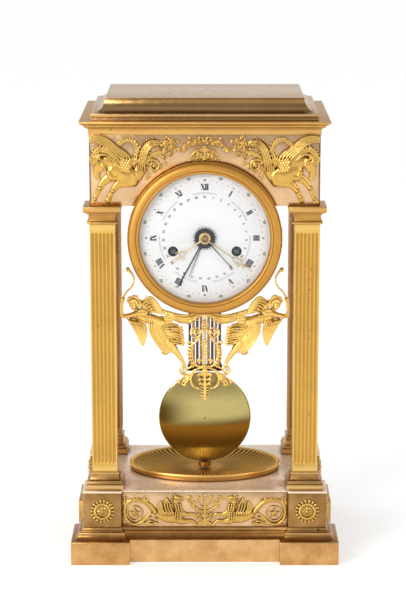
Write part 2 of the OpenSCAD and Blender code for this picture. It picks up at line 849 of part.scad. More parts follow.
module rear_door() {
    knob_at = [58, 0];
    knob_r = 3;
    knob_l = 6;
    lug = door_knuckle_h / 2;
    color(brass) {
        disc(drum_r, centre_at, door_y, door_y + door_t);
        disc(knob_r, knob_at, door_y + door_t, door_y + door_t + knob_l);
        knuckle(door_hinge, door_knuckle_r, door_pin_r, -lug, lug);
        difference() {
            block(door_hinge[0], 2 - drum_r, door_y, door_y + door_t, dial_z - lug, dial_z + lug);
            translate([door_hinge[0], door_hinge[1], dial_z - 20])
                cylinder(r = door_pin_r + running_gap, h = 40);
        }
    }
}

// Apron: two winged figures sounding trumpets, a band under the bezel and a pierced pendant

module apron_centre() {
    stroke([[0, 245, 2.4], [0, 216, 1.8], [0, 196, 2.2], [0, 184, 2], [0, 166, 1.6], [0, 160, 2.4]]);
    for (s = [-1, 1]) {
        stroke([[s * 43, 254, 2], [s * 34, 251, 3.5], [s * 22, 246.5, 4.6], [0, 245.5, 5]]);
        stroke(scroll([s * 10.5, 233], 4.8, 2.2, 90, s * 1.2, 1.3, 1.2));
        stroke([[0, 226, 1.4], [s * 5, 231, 1.3], [s * 10.5, 238, 1.3]]);
        stroke([[s * 2, 224, 1.3], [s * 13, 218.5, 2], [s * 13, 211, 3.4], [s * 14, 203, 3],
            [s * 12, 197.5, 2], [0, 195.5, 1.6]]);
        stroke([[0, 207, 1.3], [s * 6, 213, 1.3]]);
        stroke([[0, 202, 1.3], [s * 6, 208, 1.3]]);
        stroke([[s * 3, 195, 1.4], [s * 17, 190.5, 1.3], [s * 22, 186, 1.3]]);
        stroke(scroll([s * 22.3, 191.5], 5.4, 2, -90, s * 1.4, 1.3, 1.1));
        stroke([[s * 11, 191, 1.6], [s * 18, 183, 1.6], [s * 25, 178, 1.8], [s * 26, 174.5, 1.2]]);
        stroke([[s * 11, 191, 1.5], [s * 14.3, 182.5, 1.5], [s * 13.8, 176, 1.5],
            [s * 10, 172.5, 1.5], [s * 6, 172.5, 1.2]]);
        stroke([[0, 183, 1.4], [s * 6, 184.5, 1.6]]);
        stroke([[0, 178, 1.4], [s * 6, 179, 1.6]]);
        stroke([[0, 172, 1.4], [s * 5, 170, 1.2]]);
        stroke([[0, 166, 1.4], [s * 5, 164, 1.2]]);
    }
}

// Outline of the left figure, feet on the pendant's scroll
module winged_figure() {
    dot([-75.5, 264.5, 5.2]);
    stroke([[-73, 261, 3], [-69, 254, 4]]);
    stroke([[-80, 265, 0.9], [-85, 269.5, 1.3], [-83.8, 274.5, 1.1], [-78.5, 280.5, 1], [-74.6, 287, 1],
        [-75, 293, 1.1], [-78.5, 298.5, 1.4], [-81, 300, 3]]);
    stroke([[-85.5, 268, 1.8], [-88, 261, 1.4], [-88, 253, 1.8], [-85.5, 250, 2.4],
        [-78, 251.5, 2.6], [-69, 253, 4]]);
    stroke([[-68, 251, 5.5], [-57.5, 247, 6], [-49.5, 243, 6.5], [-50.5, 233, 6], [-46, 224, 6.5],
        [-40, 216, 6.5], [-33, 216, 4], [-24, 204, 2.3], [-22.3, 198.8, 1.6]]);
    stroke([[-58, 251, 4.5], [-62.5, 263, 4.5], [-58.5, 268, 3], [-52, 263, 4], [-45.5, 256.5, 2.4]]);
    stroke([[-72, 246, 5], [-67, 234, 4.4], [-65.2, 219, 1.2]]);
    stroke([[-47, 240, 4], [-36, 237, 3.4], [-25, 234, 1.8]]);
    stroke([[-46, 233, 4], [-34, 229.5, 3], [-21, 227.5, 2]]);
    stroke([[-42, 225, 4], [-32, 223, 2.6], [-22.5, 221.5, 1.6]]);
    stroke([[-45, 247, 3], [-38.5, 250, 2]]);
}

module apron_centre_mount() {
    bracket_w = 20;
    color(gilt) {
        slice(apron_y, apron_y + apron_t)
            apron_centre();
        difference() {
            block(-bracket_w / 2, bracket_w / 2, apron_y, apron_y + apron_t, 246, dial_z - drum_r + 3);
            disc(drum_r, centre_at, apron_y - 1, apron_y + apron_t + 1);
        }
    }
}

module figure_mount_left() {
    color(gilt)
        slice(apron_y + apron_t - figure_t, apron_y + apron_t)
            difference() {
                winged_figure();
                apron_centre();
            }
}

module figure_mount_right() {
    mirror([1, 0, 0])
        figure_mount_left();
}

// Wheels

// Teeth as straight-sided cogs: one of them points along the angle phase
module cogs(n, m, add, ded, root, tip, phase) {
    p = 360 / n;
    r = n * m / 2;
    polygon([for (i = [0 : n - 1], c = [[-ded, -root], [add, -tip], [add, tip], [-ded, root]])
        let (a = phase + p * i + p * c[1] / 2) (r + c[0] * m) * [cos(a), sin(a)]]);
}

// A crossed-out wheel with four spokes
module wheel(n, m, phase, hub) {
    rim = n * m / 2 - 3.2 * m;
    spoke = 1.8;
    difference() {
        cogs(n, m, 0.75, 1.2, 0.5, 0.24, phase);
        circle(rim);
    }
    intersection() {
        circle(rim + 0.5);
        union() {
            circle(hub);
            for (a = [0, 90])
                rotate(a + phase)
                    square([2 * rim + 1, spoke], center = true);
        }
    }
}

module pinion(n, m, phase)
    cogs(n, m, 0.6, 1.25, 0.4, 0.24, phase);

// Phase that puts a gap of an n-toothed pinion where the tooth of its wheel points
function gap_phase(n, direction) = direction + 180 + 180 / n;

module arbor(at, y0, y1, r = arbor_r)
    disc(r, at, y0, y1);

// One plate, with its own bores besides those that both plates have
module movement_plate(y0, own_bores) {
    dial_slice(y0, y0 + plate_t)
        difference() {
            circle(plate_r);
            for (b = concat(shared_bores, own_bores))
                translate(b[0])
                    circle(b[1] + running_gap);
        }
}

module movement_front_plate() {
    ear_w = 14;
    color(brass) {
        movement_plate(front_plate_y, [[centre_at, centre_r]]);
        dial_slice(front_plate_y, front_plate_y + plate_t)
            difference() {
                intersection() {
                    square([3 * drum_r, ear_w], center = true);
                    circle(drum_in);
                }
                circle(plate_r - 0.5);
            }
        disc(stud_r, minute_wheel_at, front_plate_y - stud_l, front_plate_y);
    }
}

module movement_back_plate() {
    color(brass)
        movement_plate(back_plate_y, [[centre_at, centre_back_r], [hammer_at, hammer_r]]);
}

module plate_pillars() {
    color(brass)
        for (at = plate_pillar_at)
            disc(3.5, at, front_plate_y + plate_t, back_plate_y);
}

// The minute arbor: cannon pinion, centre pinion and centre wheel
module centre_wheel() {
    color(brass) {
        arbor(centre_at, collar_y, front_plate_y + plate_t, centre_r);
        arbor(centre_at, front_plate_y, back_plate_y + plate_t, centre_back_r);
        dial_slice(minute_wheel_y - wheel_t - leaf_extra, minute_wheel_y + leaf_extra)
            pinion(cannon_n, minute_m, -90);
        dial_slice(second_wheel_y - wheel_t - leaf_extra, second_wheel_y + leaf_extra)
            pinion(centre_pinion_n, second_m, gap_phase(centre_pinion_n, second_to_centre));
        dial_slice(centre_wheel_y - wheel_t, centre_wheel_y)
            wheel(centre_n, centre_m, centre_to_third, 4);
    }
}

module second_wheel() {
    color(brass) {
        arbor(second_at, front_plate_y, back_plate_y + plate_t);
        dial_slice(second_wheel_y - wheel_t, second_wheel_y)
            translate(second_at)
                wheel(second_n, second_m, second_to_centre, 4);
        dial_slice(great_wheel_y - great_wheel_t - leaf_extra, great_wheel_y + leaf_extra)
            translate(second_at)
                pinion(second_pinion_n, great_m, gap_phase(second_pinion_n, great_to_second));
    }
}

module third_wheel() {
    color(brass) {
        arbor(third_at, front_plate_y, back_plate_y + plate_t);
        dial_slice(third_wheel_y - wheel_t, third_wheel_y)
            translate(third_at)
                wheel(third_n, third_m, third_to_escape, 3.5);
        dial_slice(centre_wheel_y - wheel_t - leaf_extra, centre_wheel_y + leaf_extra)
            translate(third_at)
                pinion(third_pinion_n, centre_m, gap_phase(third_pinion_n, centre_to_third));
    }
}

module escape_wheel() {
    root_r = 9.4;
    rim_r = 8.2;
    escape_t = 0.8;
    color(brass) {
        arbor(escape_at, front_plate_y, back_plate_y + plate_t);
        dial_slice(third_wheel_y - wheel_t - leaf_extra, third_wheel_y + leaf_extra)
            translate(escape_at)
                pinion(escape_pinion_n, third_m, gap_phase(escape_pinion_n, third_to_escape));
        dial_slice(escape_wheel_y - escape_t, escape_wheel_y)
            translate(escape_at) {
                difference() {
                    polygon([for (i = [0 : escape_n - 1],
                        c = [[root_r, 0], [escape_r, 0.3], [escape_r, 0.4], [root_r, 0.6]])
                        let (a = 360 * (i + c[1]) / escape_n) c[0] * [cos(a), sin(a)]]);
                    circle(rim_r);
                }
                circle(2.2);
                for (a = [0, 90])
                    rotate(a)
                        square([2 * rim_r + 1, 1.2], center = true);
            }
    }
}

// Pallets over the escape wheel, with the crutch that embraces the pendulum rod
module anchor() {
    crutch_y = back_plate_y + plate_t + 4;
    crutch_l = 44;
    fork_x = 3.6;
    fork_r = 0.8;
    pallet_t = 1.6;
    arm = [[0, 2.4], [6, 0.6], [11.3, -4.6], [11.5, -7.6], [10, -7.8], [9.2, -5], [5.2, -1.6], [0, -1.8]];
    color(steel) {
        arbor(anchor_at, front_plate_y, crutch_y + 2);
        dial_slice(escape_wheel_y - pallet_t + 0.4, escape_wheel_y + 0.4)
            translate(anchor_at)
                for (s = [0, 1])
                    mirror([s, 0])
                        polygon(arm);
        dial_slice(crutch_y, crutch_y + 2)
            translate(anchor_at) {
                circle(3);
                translate([-1.25, -crutch_l])
                    square([2.5, crutch_l]);
                translate([-fork_x - 1.5, -crutch_l - 2.5])
                    square([2 * fork_x + 3, 3]);
            }
        for (s = [-1, 1])
            disc(fork_r, anchor_at + [s * fork_x, -crutch_l - 1], crutch_y + 1.5, pendulum_y + 3);
    }
}

module hour_wheel() {
    color(brass) {
        ring(hour_pipe + pipe_wall, hour_pipe, hour_y - gilt_hand_t, hour_wheel_y);
        dial_slice(hour_wheel_y - wheel_t, hour_wheel_y)
            difference() {
                wheel(hour_n, hour_m, gap_phase(hour_n, 90), 5);
                circle(hour_pipe);
            }
    }
}

module minute_wheel() {
    stud_fit = stud_r + running_gap;
    color(brass) {
        dial_slice(minute_wheel_y - wheel_t, minute_wheel_y)
            translate(minute_wheel_at)
                difference() {
                    wheel(minute_n, minute_m, gap_phase(minute_n, -90), 5.5);
                    circle(stud_fit);
                }
        dial_slice(hour_wheel_y - wheel_t - leaf_extra, minute_wheel_y - wheel_t)
            translate(minute_wheel_at)
                difference() {
                    pinion(minute_pinion_n, hour_m, 90);
                    circle(stud_fit);
                }
    }
}

// A spring barrel with its great wheel
module barrel(at, phase) {
    color(brass) {
        dial_slice(barrel_front, great_wheel_y - great_wheel_t)
            translate(at)
                difference() {
                    circle(barrel_r);
                    circle(winding_r + running_gap);
                }
        dial_slice(great_wheel_y - great_wheel_t, great_wheel_y)
            translate(at)
                difference() {
                    cogs(great_n, great_m, 0.75, 1.2, 0.5, 0.24, phase);
                    circle(winding_r + running_gap);
                }
    }
}

// A winding arbor with its ratchet and square
module winding_arbor(at) {
    square_w = 4.2;
    square_l = 7;
    ratchet_n = 24;
    ratchet_r = 8;
    shoulder = 3;
    color(steel) {
        arbor(at, front_plate_y - shoulder, back_plate_y + plate_t, winding_r);
        dial_slice(front_plate_y - 2.4, front_plate_y - 0.4)
            translate(at)
                polygon([for (i = [0 : ratchet_n - 1], c = [[ratchet_r, 0], [ratchet_r - 1.4, 0.1]])
                    let (a = 360 * (i + c[1]) / ratchet_n) c[0] * [cos(a), sin(a)]]);
        dial_slice(front_plate_y - shoulder - square_l, front_plate_y - shoulder)
            translate(at)
                square(square_w, center = true);
    }
}

// Striking

module bell() {
    post_at = [-42, -20];
    bar_w = 4;
    bar_y = 1;
    bar = bell_at - post_at;
    shell = 1.6;
    color(brass) {
        translate([0, bell_y, dial_z])
            rotate([-90, 0, 0])
                translate([bell_at[0], -bell_at[1], 0])
                    rotate_extrude()
                        polygon([[bell_r, 0], [bell_r - 1.5, 7], [bell_r - 7, 13], [12, bell_h], [0, bell_h],
                            [0, bell_h - shell], [11.5, bell_h - shell], [bell_r - 8, 12],
                            [bell_r - 3.2, 6.6], [bell_r - shell, 0]]);
        disc(2.2, post_at, back_plate_y + plate_t, bar_y + 3);
        dial_slice(bar_y, bar_y + 3)
            translate(post_at)
                rotate(atan2(bar[1], bar[0]))
                    translate([0, -bar_w / 2])
                        square([norm(bar), bar_w]);
        disc(2.5, bell_at, bar_y, bell_y + bell_h + 3);
        disc(4, bell_at, bell_y + bell_h, bell_y + bell_h + 3);
    }
}

module hammer() {
    arm_l = 36;
    arm_w = 3;
    head_r = 3.5;
    head_x = bell_at[0] + bell_r + 1.2;
    head_l = 7;
    arm_y = bell_y + 1;
    color(steel) {
        arbor(hammer_at, back_plate_y - 1, arm_y + 3, hammer_r);
        dial_slice(arm_y, arm_y + 3)
            translate(hammer_at) {
                circle(3);
                translate([-arm_w / 2, 0])
                    square([arm_w, arm_l]);
            }
        translate([head_x, arm_y + 1.5, dial_z + hammer_at[1] + arm_l])
            rotate([0, 90, 0])
                cylinder(r = head_r, h = head_l);
    }
}

// Hands, drawn pointing to twelve and turned to their hour

module hand(y, t, angle) {
    dial_slice(y - t, y)
        rotate(-angle)
            children();
}

module tapered(r0, r1, w0, w1)
    polygon([[-w0 / 2, r0], [w0 / 2, r0], [w1 / 2, r1], [-w1 / 2, r1]]);

// A gilt hand with a pierced ring and an arrow tip
module pierced_hand(length, ring_at, ring_r, bore, boss_r) {
    difference() {
        union() {
            circle(boss_r);
            tapered(boss_r - 0.5, ring_at, 2.2, 1.5);
            translate([0, ring_at])
                circle(ring_r);
            tapered(ring_at + ring_r - 0.5, length - 4, 1.6, 2.6);
            tapered(length - 4, length, 3.2, 0.3);
        }
        circle(bore);
        translate([0, ring_at])
            circle(ring_r - 1.1);
    }
}

module minute_hand() {
    color(gilt) {
        hand(minute_y, gilt_hand_t, minute_angle)
            pierced_hand(57, 41, 3.2, centre_r + running_gap, 5.2);
        ring(3.6, centre_r + running_gap, collar_y - 0.8, collar_y);
    }
}

module hour_hand() {
    color(gilt)
        hand(hour_y, gilt_hand_t, hour_angle)
            pierced_hand(43, 30, 3.2, hour_pipe + pipe_wall + running_gap, 6.4);
}

// A steel hand on its own pipe, with the wheel that drives it behind the dial
module calendar_hand(y, angle, bore, wheel_y, wheel_r, teeth) {
    hand(y, hand_t, angle)
        difference() {
            union() {
                circle(bore + pipe_wall + 1.2);
                children();
            }
            circle(bore + pipe_wall / 2);
        }
    ring(bore + pipe_wall, bore, y - hand_t, wheel_y);
    dial_slice(wheel_y - calendar_t, wheel_y)
        difference() {
            polygon([for (i = [0 : 2 * teeth - 1]) let (a = 180 * i / teeth)
                (wheel_r - (i % 2)) * [cos(a), sin(a)]]);
            circle(bore + pipe_wall / 2);
        }
}

module year_hand() {
    color(blued)
        calendar_hand(year_y, year_angle, year_pipe, year_wheel_y, 14, 73) {
            tapered(4, 46, 1.1, 1.3);
            tapered(46, 53, 1.3, 2.2);
            tapered(53, 59, 2.2, 0.3);
        }
}

module date_hand() {
    color(blued)
        calendar_hand(date_y, date_angle, date_pipe, date_wheel_y, 12, 31)
            tapered(4, 44, 1, 0.5);
}

module weekday_hand() {
    spikes = 24;
    star_r = 10.3;
    star_tip = 12.2;
    color(blued)
        calendar_hand(weekday_y, weekday_angle, weekday_pipe, weekday_wheel_y, 9, 7) {
            circle(star_r);
            for (i = [1 : spikes - 1])
                rotate(360 * i / spikes)
                    tapered(star_r - 0.5, star_tip, 0.9, 0.3);
            tapered(4, 39, 0.9, 0.6);
            tapered(38.5, 42, 2.4, 0.3);
        }
}

// Pendulum

// The cock that hangs the suspension spring behind the back plate
module suspension_cock() {
    post_x0 = 9.5;
    post_x1 = 13;
    bridge_z0 = pivot_z + 1;
    bridge_z1 = pivot_z + 7;
    bridge_t = 6;
    jaw = 0.6;
    y0 = back_plate_y + plate_t;
    y1 = pendulum_y + bridge_t / 2;
    color(brass)
        difference() {
            union() {
                for (s = [0, 1])
                    mirror([s, 0, 0])
                        block(post_x0, post_x1, y0, y1, pivot_z - 4, bridge_z1);
                block(-post_x1, post_x1, pendulum_y - bridge_t / 2, y1, bridge_z0, bridge_z1 + 2);
            }
            block(-jaw, jaw, pendulum_y - bridge_t, y1 + bridge_t, bridge_z0 - 1, bridge_z1);
        }
}

module pendulum_rod() {
    rod_w = 5;
    rod_t = 2;
    spring_t = 0.3;
    spring_w = 5;
    color(steel) {
        block(-rod_w / 2, rod_w / 2, pendulum_y - rod_t / 2, pendulum_y + rod_t / 2, grid_top, pivot_z - 8);
        block(-spring_t / 2, spring_t / 2, pendulum_y - spring_w / 2, pendulum_y + spring_w / 2,
            pivot_z - 9, pivot_z + 6);
    }
}

// Rods of the gridiron between its bars: steel and brass by turns
module gridiron_rods(first) {
    for (i = [first : 2 : grid_rods - 1])
        translate([grid_pitch * (i - (grid_rods - 1) / 2), pendulum_y, grid_bottom + grid_bar_h])
            cylinder(r = grid_rod_r, h = grid_top - 2 * grid_bar_h - grid_bottom);
}

module gridiron_steel_rods() {
    color(steel)
        gridiron_rods(0);
}

module gridiron_brass_rods() {
    color(brass)
        gridiron_rods(1);
}

module gridiron_bars() {
    color(blued) {
        for (z = [grid_bottom, grid_top - grid_bar_h])
            block(-grid_w / 2, grid_w / 2, pendulum_y - grid_t / 2, pendulum_y + grid_t / 2,
                z, z + grid_bar_h);
        translate([0, pendulum_y, stem_end])
            cylinder(r = stem_r, h = grid_bottom - stem_end + 1);
    }
}

// A lens of two shallow domes with a narrow rim, bored for the stem
module bob() {
    rim_t = 3;
    sag = (bob_t - rim_t) / 2;
    dome_r = (bob_r * bob_r + sag * sag) / (2 * sag);
    stem_fit = 0.3;
    color(brass)
        difference() {
            intersection_for (s = [-1, 1])
                translate([0, pendulum_y + s * (dome_r - bob_t / 2), bob_z])
                    rotate([90, 0, 0])
                        intersection() {
                            sphere(dome_r, $fn = 180);
                            cylinder(r = bob_r, h = 4 * dome_r, center = true);
                        }
            translate([0, pendulum_y, bob_z - bob_r - 1])
                cylinder(r = stem_r + stem_fit, h = 2 * bob_r + 2);
        }
}

module rating_nut() {
    knurl_r = 7;
    nut_top = bob_z - bob_r - 0.3;
    color(blued)
        translate([0, pendulum_y, stem_end + 0.6])
            difference() {
                cylinder(r = knurl_r, h = nut_top - stem_end - 0.6);
                translate([0, 0, -1])
                    cylinder(r = stem_r + running_gap, h = 20);
            }
}

plinth();
corner_dies();
base_panels();
floor_plate();
base_rosettes();
griffin_mount_left();
griffin_mount_right();
palmette_mount();
dish();
dish_well();
pillar_feet();
pillar_shafts(-1);  // front_pillar_shafts
pillar_shafts(1);  // rear_pillar_shafts
pillar_capitals();
tie_rods();
tie_rod_nuts();
frieze_front();
frieze_panels();
sea_horse_mount_left();
sea_horse_mount_right();
garland_mount();
cornice();
roof_cap();
drum_case();
dial();
apron_centre_mount();
figure_mount_left();
figure_mount_right();
movement_front_plate();
movement_back_plate();
plate_pillars();
suspension_cock();
bell();
hinge_pins();
bezel_ring();
bezel_glass();
rear_door();
minute_hand();
hour_hand();
date_hand();
weekday_hand();
year_hand();
centre_wheel();
hour_wheel();
minute_wheel();
second_wheel();
third_wheel();
escape_wheel();
barrel(going_at, great_to_second);  // going_barrel
winding_arbor(going_at);  // going_arbor
barrel(strike_at, 0);  // strike_barrel
winding_arbor(strike_at);  // strike_arbor
anchor();
hammer();
pendulum_rod();
gridiron_steel_rods();
gridiron_brass_rods();
gridiron_bars();
bob();
rating_nut();
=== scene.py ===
# %% [markdown]
# # A gilt portico clock
# The CAD model gives every size and every joint. This lesson dresses it: the case gets mouldings with
# softened edges, the relief mounts are modelled as castings, and each metal gets its own finish.
# We load the frame first and keep the CAD box, so that the dressed clock can be measured against it.

# %% Load the frame
import json
import math

import bpy
import numpy as np
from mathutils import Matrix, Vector

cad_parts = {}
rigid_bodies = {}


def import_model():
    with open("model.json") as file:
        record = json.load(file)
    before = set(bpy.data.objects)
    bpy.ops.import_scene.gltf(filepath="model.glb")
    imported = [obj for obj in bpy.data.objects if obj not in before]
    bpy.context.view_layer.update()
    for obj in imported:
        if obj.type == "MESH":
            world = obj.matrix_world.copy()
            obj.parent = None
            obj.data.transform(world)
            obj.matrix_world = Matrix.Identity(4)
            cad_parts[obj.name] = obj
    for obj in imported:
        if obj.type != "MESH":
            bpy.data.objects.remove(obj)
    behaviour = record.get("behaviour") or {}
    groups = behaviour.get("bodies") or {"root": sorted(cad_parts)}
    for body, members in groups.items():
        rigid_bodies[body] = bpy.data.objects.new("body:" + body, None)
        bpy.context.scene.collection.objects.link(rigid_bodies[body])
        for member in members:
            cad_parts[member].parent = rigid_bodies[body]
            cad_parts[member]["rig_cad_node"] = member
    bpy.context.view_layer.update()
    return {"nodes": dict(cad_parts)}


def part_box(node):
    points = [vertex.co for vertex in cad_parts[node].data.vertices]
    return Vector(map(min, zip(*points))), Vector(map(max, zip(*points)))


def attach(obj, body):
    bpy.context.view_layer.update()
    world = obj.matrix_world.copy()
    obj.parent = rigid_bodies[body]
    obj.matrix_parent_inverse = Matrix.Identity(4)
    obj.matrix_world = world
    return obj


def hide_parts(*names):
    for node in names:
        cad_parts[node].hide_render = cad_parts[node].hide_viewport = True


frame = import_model()
nodes = frame["nodes"]
MM = 0.001

# %% [markdown]
# ## Places
# We think in millimetres and hand metres to Blender. The main heights and faces come from the boxes of
# the CAD nodes, so the dressed pieces follow the frame.

# %% Heights and faces of the frame
def box_mm(node):
    """Lowest and highest corner of a CAD node, in millimetres."""
    return [[round(value / MM, 2) for value in corner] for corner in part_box(node)]


def middle(node):
    return [round((low + high) / 2, 2) for low, high in zip(*box_mm(node))]


PLINTH_X, PLINTH_Y, DIE_FOOT = box_mm("plinth")[1]
DIE_X, DIE_Y, _ = box_mm("corner_dies")[1]
FLOOR_TOP = box_mm("floor_plate")[1][2]
shaft_low, shaft_high = box_mm("rear_pillar_shafts")
SHAFT_LOW, SHAFT_HIGH = shaft_low[2], shaft_high[2]
SHAFT_HALF = (shaft_high[1] - shaft_low[1]) / 2
PILLAR_X, PILLAR_Y = shaft_high[0] - SHAFT_HALF, shaft_high[1] - SHAFT_HALF
FRIEZE_X, _, FRIEZE_TOP = box_mm("frieze_front")[1]
_, FRIEZE_FACE, FRIEZE_FOOT = box_mm("frieze_front")[0]
ROOF_FOOT = box_mm("roof_cap")[0][2]
PANEL_FACE = box_mm("base_panels")[0][1]
APRON_FACE = box_mm("apron_centre_mount")[1][1]
DIAL_FACE, DIAL_Z = box_mm("dial")[0][1], middle("dial")[2]
BOB_R = box_mm("bob")[1][0]
_, BOB_Y, BOB_Z = middle("bob")
print("dial at", DIAL_Z, "bob at", BOB_Z, "pillars at", PILLAR_X, PILLAR_Y)

# %% [markdown]
# ## Camera
# The clock was photographed from a little above, with a long lens. A small shift puts the optical axis
# where it lies in the frame, which is cheaper and truer than turning the camera.

# %% Set the camera
IMAGE_HEIGHT, FOCAL_PIXELS, SENSOR = 610, 2041, 36
SHIFT_RIGHT, SHIFT_UP = -1.8, 6.5
CAMERA_PLACE, CAMERA_PITCH = (0, -2.1226, 0.7396), 77
bpy.ops.object.camera_add(location=CAMERA_PLACE)
camera = bpy.context.object
camera.name = "photo_camera"
camera.rotation_mode = "YXZ"
camera.rotation_euler = (math.radians(CAMERA_PITCH), 0, 0)
camera.data.sensor_width = SENSOR
camera.data.lens = FOCAL_PIXELS / IMAGE_HEIGHT * SENSOR
camera.data.shift_x = SHIFT_RIGHT / IMAGE_HEIGHT
camera.data.shift_y = SHIFT_UP / IMAGE_HEIGHT
camera.data.clip_end = 100
bpy.context.scene.camera = camera
bpy.context.scene.view_settings.view_transform = "Standard"
print("lens", round(camera.data.lens, 2), "mm")

# %% [markdown]
# ## Small helpers
# Operators act on whatever is selected, so each step starts by deselecting everything. A finished piece
# gets one material, rides on a body, and may stand for CAD nodes.

# %% Selecting and finishing
def deselect():
    if bpy.context.mode != "OBJECT":
        bpy.ops.object.mode_set(mode="OBJECT")
    bpy.ops.object.select_all(action="DESELECT")


def activate(piece):
    deselect()
    piece.select_set(True)
    bpy.context.view_layer.objects.active = piece


def edit(piece):
    activate(piece)
    bpy.ops.object.mode_set(mode="EDIT")
    bpy.ops.mesh.select_all(action="SELECT")


def apply_modifier(piece, kind, **settings):
    activate(piece)
    modifier = piece.modifiers.new(kind.lower(), kind)
    for key, value in settings.items():
        setattr(modifier, key, value)
    bpy.ops.object.modifier_apply(modifier=modifier.name)


def soften(piece, width, segments=2, angle=35):
    apply_modifier(piece, "BEVEL", width=width * MM, segments=segments,
                   limit_method="ANGLE", angle_limit=math.radians(angle))
    activate(piece)
    bpy.ops.object.shade_smooth_by_angle(angle=math.radians(angle))


def join(name, pieces):
    activate(pieces[0])
    for piece in pieces[1:]:
        piece.select_set(True)
    bpy.ops.object.join()
    bpy.context.object.name = name
    return bpy.context.object


def copy_of(piece, name):
    activate(piece)
    bpy.ops.object.duplicate()
    bpy.context.object.name = name
    return bpy.context.object


def move_mesh(piece, x=0, y=0, z=0):
    edit(piece)
    bpy.ops.transform.translate(value=(x * MM, y * MM, z * MM))
    bpy.ops.object.mode_set(mode="OBJECT")


def turn_mesh(piece, degrees):
    """Turn the mesh round the upright axis through the origin."""
    edit(piece)
    bpy.ops.transform.rotate(value=math.radians(degrees), orient_axis="Z", center_override=(0, 0, 0))
    bpy.ops.object.mode_set(mode="OBJECT")


def mesh_piece(name, vertices, faces):
    mesh = bpy.data.meshes.new(name)
    mesh.from_pydata(vertices, [], faces)
    piece = bpy.data.objects.new(name, mesh)
    bpy.context.collection.objects.link(piece)
    return piece


def fit(piece, body, slot, material, *stands_for):
    piece.data.materials.clear()
    piece.data.materials.append(material)
    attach(piece, body)
    if stands_for:
        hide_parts(*stands_for)
    print(piece.name, len(piece.data.polygons), "faces on", body)
    return piece


# %% Building node trees
def new_material(name):
    """A new material, its node tree and its Principled shader."""
    material = bpy.data.materials.new(name)
    material.use_nodes = True
    return material, material.node_tree, material.node_tree.nodes["Principled BSDF"]


def add_node(tree, kind, **values):
    node = tree.nodes.new(kind)
    for key, value in values.items():
        node.inputs[key.replace("_", " ")].default_value = value
    return node


def feed(tree, value, socket):
    """Link an output to the socket, or give the socket a number or a colour."""
    if isinstance(value, bpy.types.NodeSocket):
        tree.links.new(value, socket)
    elif isinstance(value, tuple):
        socket.default_value = (*value, 1)
    else:
        socket.default_value = value


def calculate(tree, operation, *values):
    node = tree.nodes.new("ShaderNodeMath")
    node.operation = operation
    for value, socket in zip(values, node.inputs):
        feed(tree, value, socket)
    return node.outputs[0]


def map_range(tree, source, low, high, to_low=0.0, to_high=1.0, kind="LINEAR"):
    node = add_node(tree, "ShaderNodeMapRange", From_Min=low, From_Max=high, To_Min=to_low, To_Max=to_high)
    node.interpolation_type = kind
    tree.links.new(source, node.inputs["Value"])
    return node.outputs["Result"]


def blend_colour(tree, first, second, mask):
    node = tree.nodes.new("ShaderNodeMix")
    node.data_type = "RGBA"
    feed(tree, mask, node.inputs["Factor"])
    feed(tree, first, node.inputs[6])
    feed(tree, second, node.inputs[7])
    return node.outputs[2]


def mix_shaders(tree, mask, first, second):
    node = tree.nodes.new("ShaderNodeMixShader")
    for value, socket in zip((mask, first, second), node.inputs):
        tree.links.new(value, socket)
    return node.outputs[0]


def position(tree, kind="Object"):
    """X, Y and Z of the shaded point."""
    split = tree.nodes.new("ShaderNodeSeparateXYZ")
    tree.links.new(tree.nodes.new("ShaderNodeTexCoord").outputs[kind], split.inputs[0])
    return split.outputs


# %% [markdown]
# ## Studio
# Gilding shows its surroundings more than its own colour. The clock stands on a white floor under a sky
# that is white round the horizon and dim overhead, as in a room with one large window band. Camera,
# glossy and transmission rays see that white, while the light on the clock stays at a plain level. Two
# cards that only reflections see stand in front: a grey far wall, and a small brown one with soft edges
# whose glowing bands are a painted reflection of the gilt base, darkening the lower half of the bob.

# %% Floor and world
FLOOR_SHADE, FLOOR_GLOW = 0.62, 0.38
SKY_LIGHT, HORIZON, OVERHEAD = 0.98, 0.92, 0.38
DIM_FROM, DIM_TO = 0.30, 0.75


def seen_directly(tree):
    """One for camera, glossy and transmission rays, and nought for the light that things get."""
    ray = tree.nodes.new("ShaderNodeLightPath").outputs
    mirrored_or_seen = calculate(tree, "MAXIMUM", ray["Is Camera Ray"], ray["Is Glossy Ray"])
    return calculate(tree, "MAXIMUM", mirrored_or_seen, ray["Is Transmission Ray"])


deselect()
bpy.ops.mesh.primitive_plane_add(size=60)
floor = bpy.context.object
floor.name = "floor"
paint, tree, shader = new_material("floor_white")
feed(tree, (FLOOR_SHADE, FLOOR_SHADE, FLOOR_SHADE), shader.inputs["Base Color"])
feed(tree, 0.9, shader.inputs["Roughness"])
feed(tree, 0.1, shader.inputs["Specular IOR Level"])
glow = add_node(tree, "ShaderNodeEmission", Strength=FLOOR_GLOW)
nothing = add_node(tree, "ShaderNodeBsdfTransparent", Color=(0, 0, 0, 1))
both = tree.nodes.new("ShaderNodeAddShader")
tree.links.new(shader.outputs[0], both.inputs[0])
tree.links.new(mix_shaders(tree, seen_directly(tree), nothing.outputs[0], glow.outputs[0]), both.inputs[1])
tree.links.new(both.outputs[0], tree.nodes["Material Output"].inputs["Surface"])
floor.data.materials.append(paint)

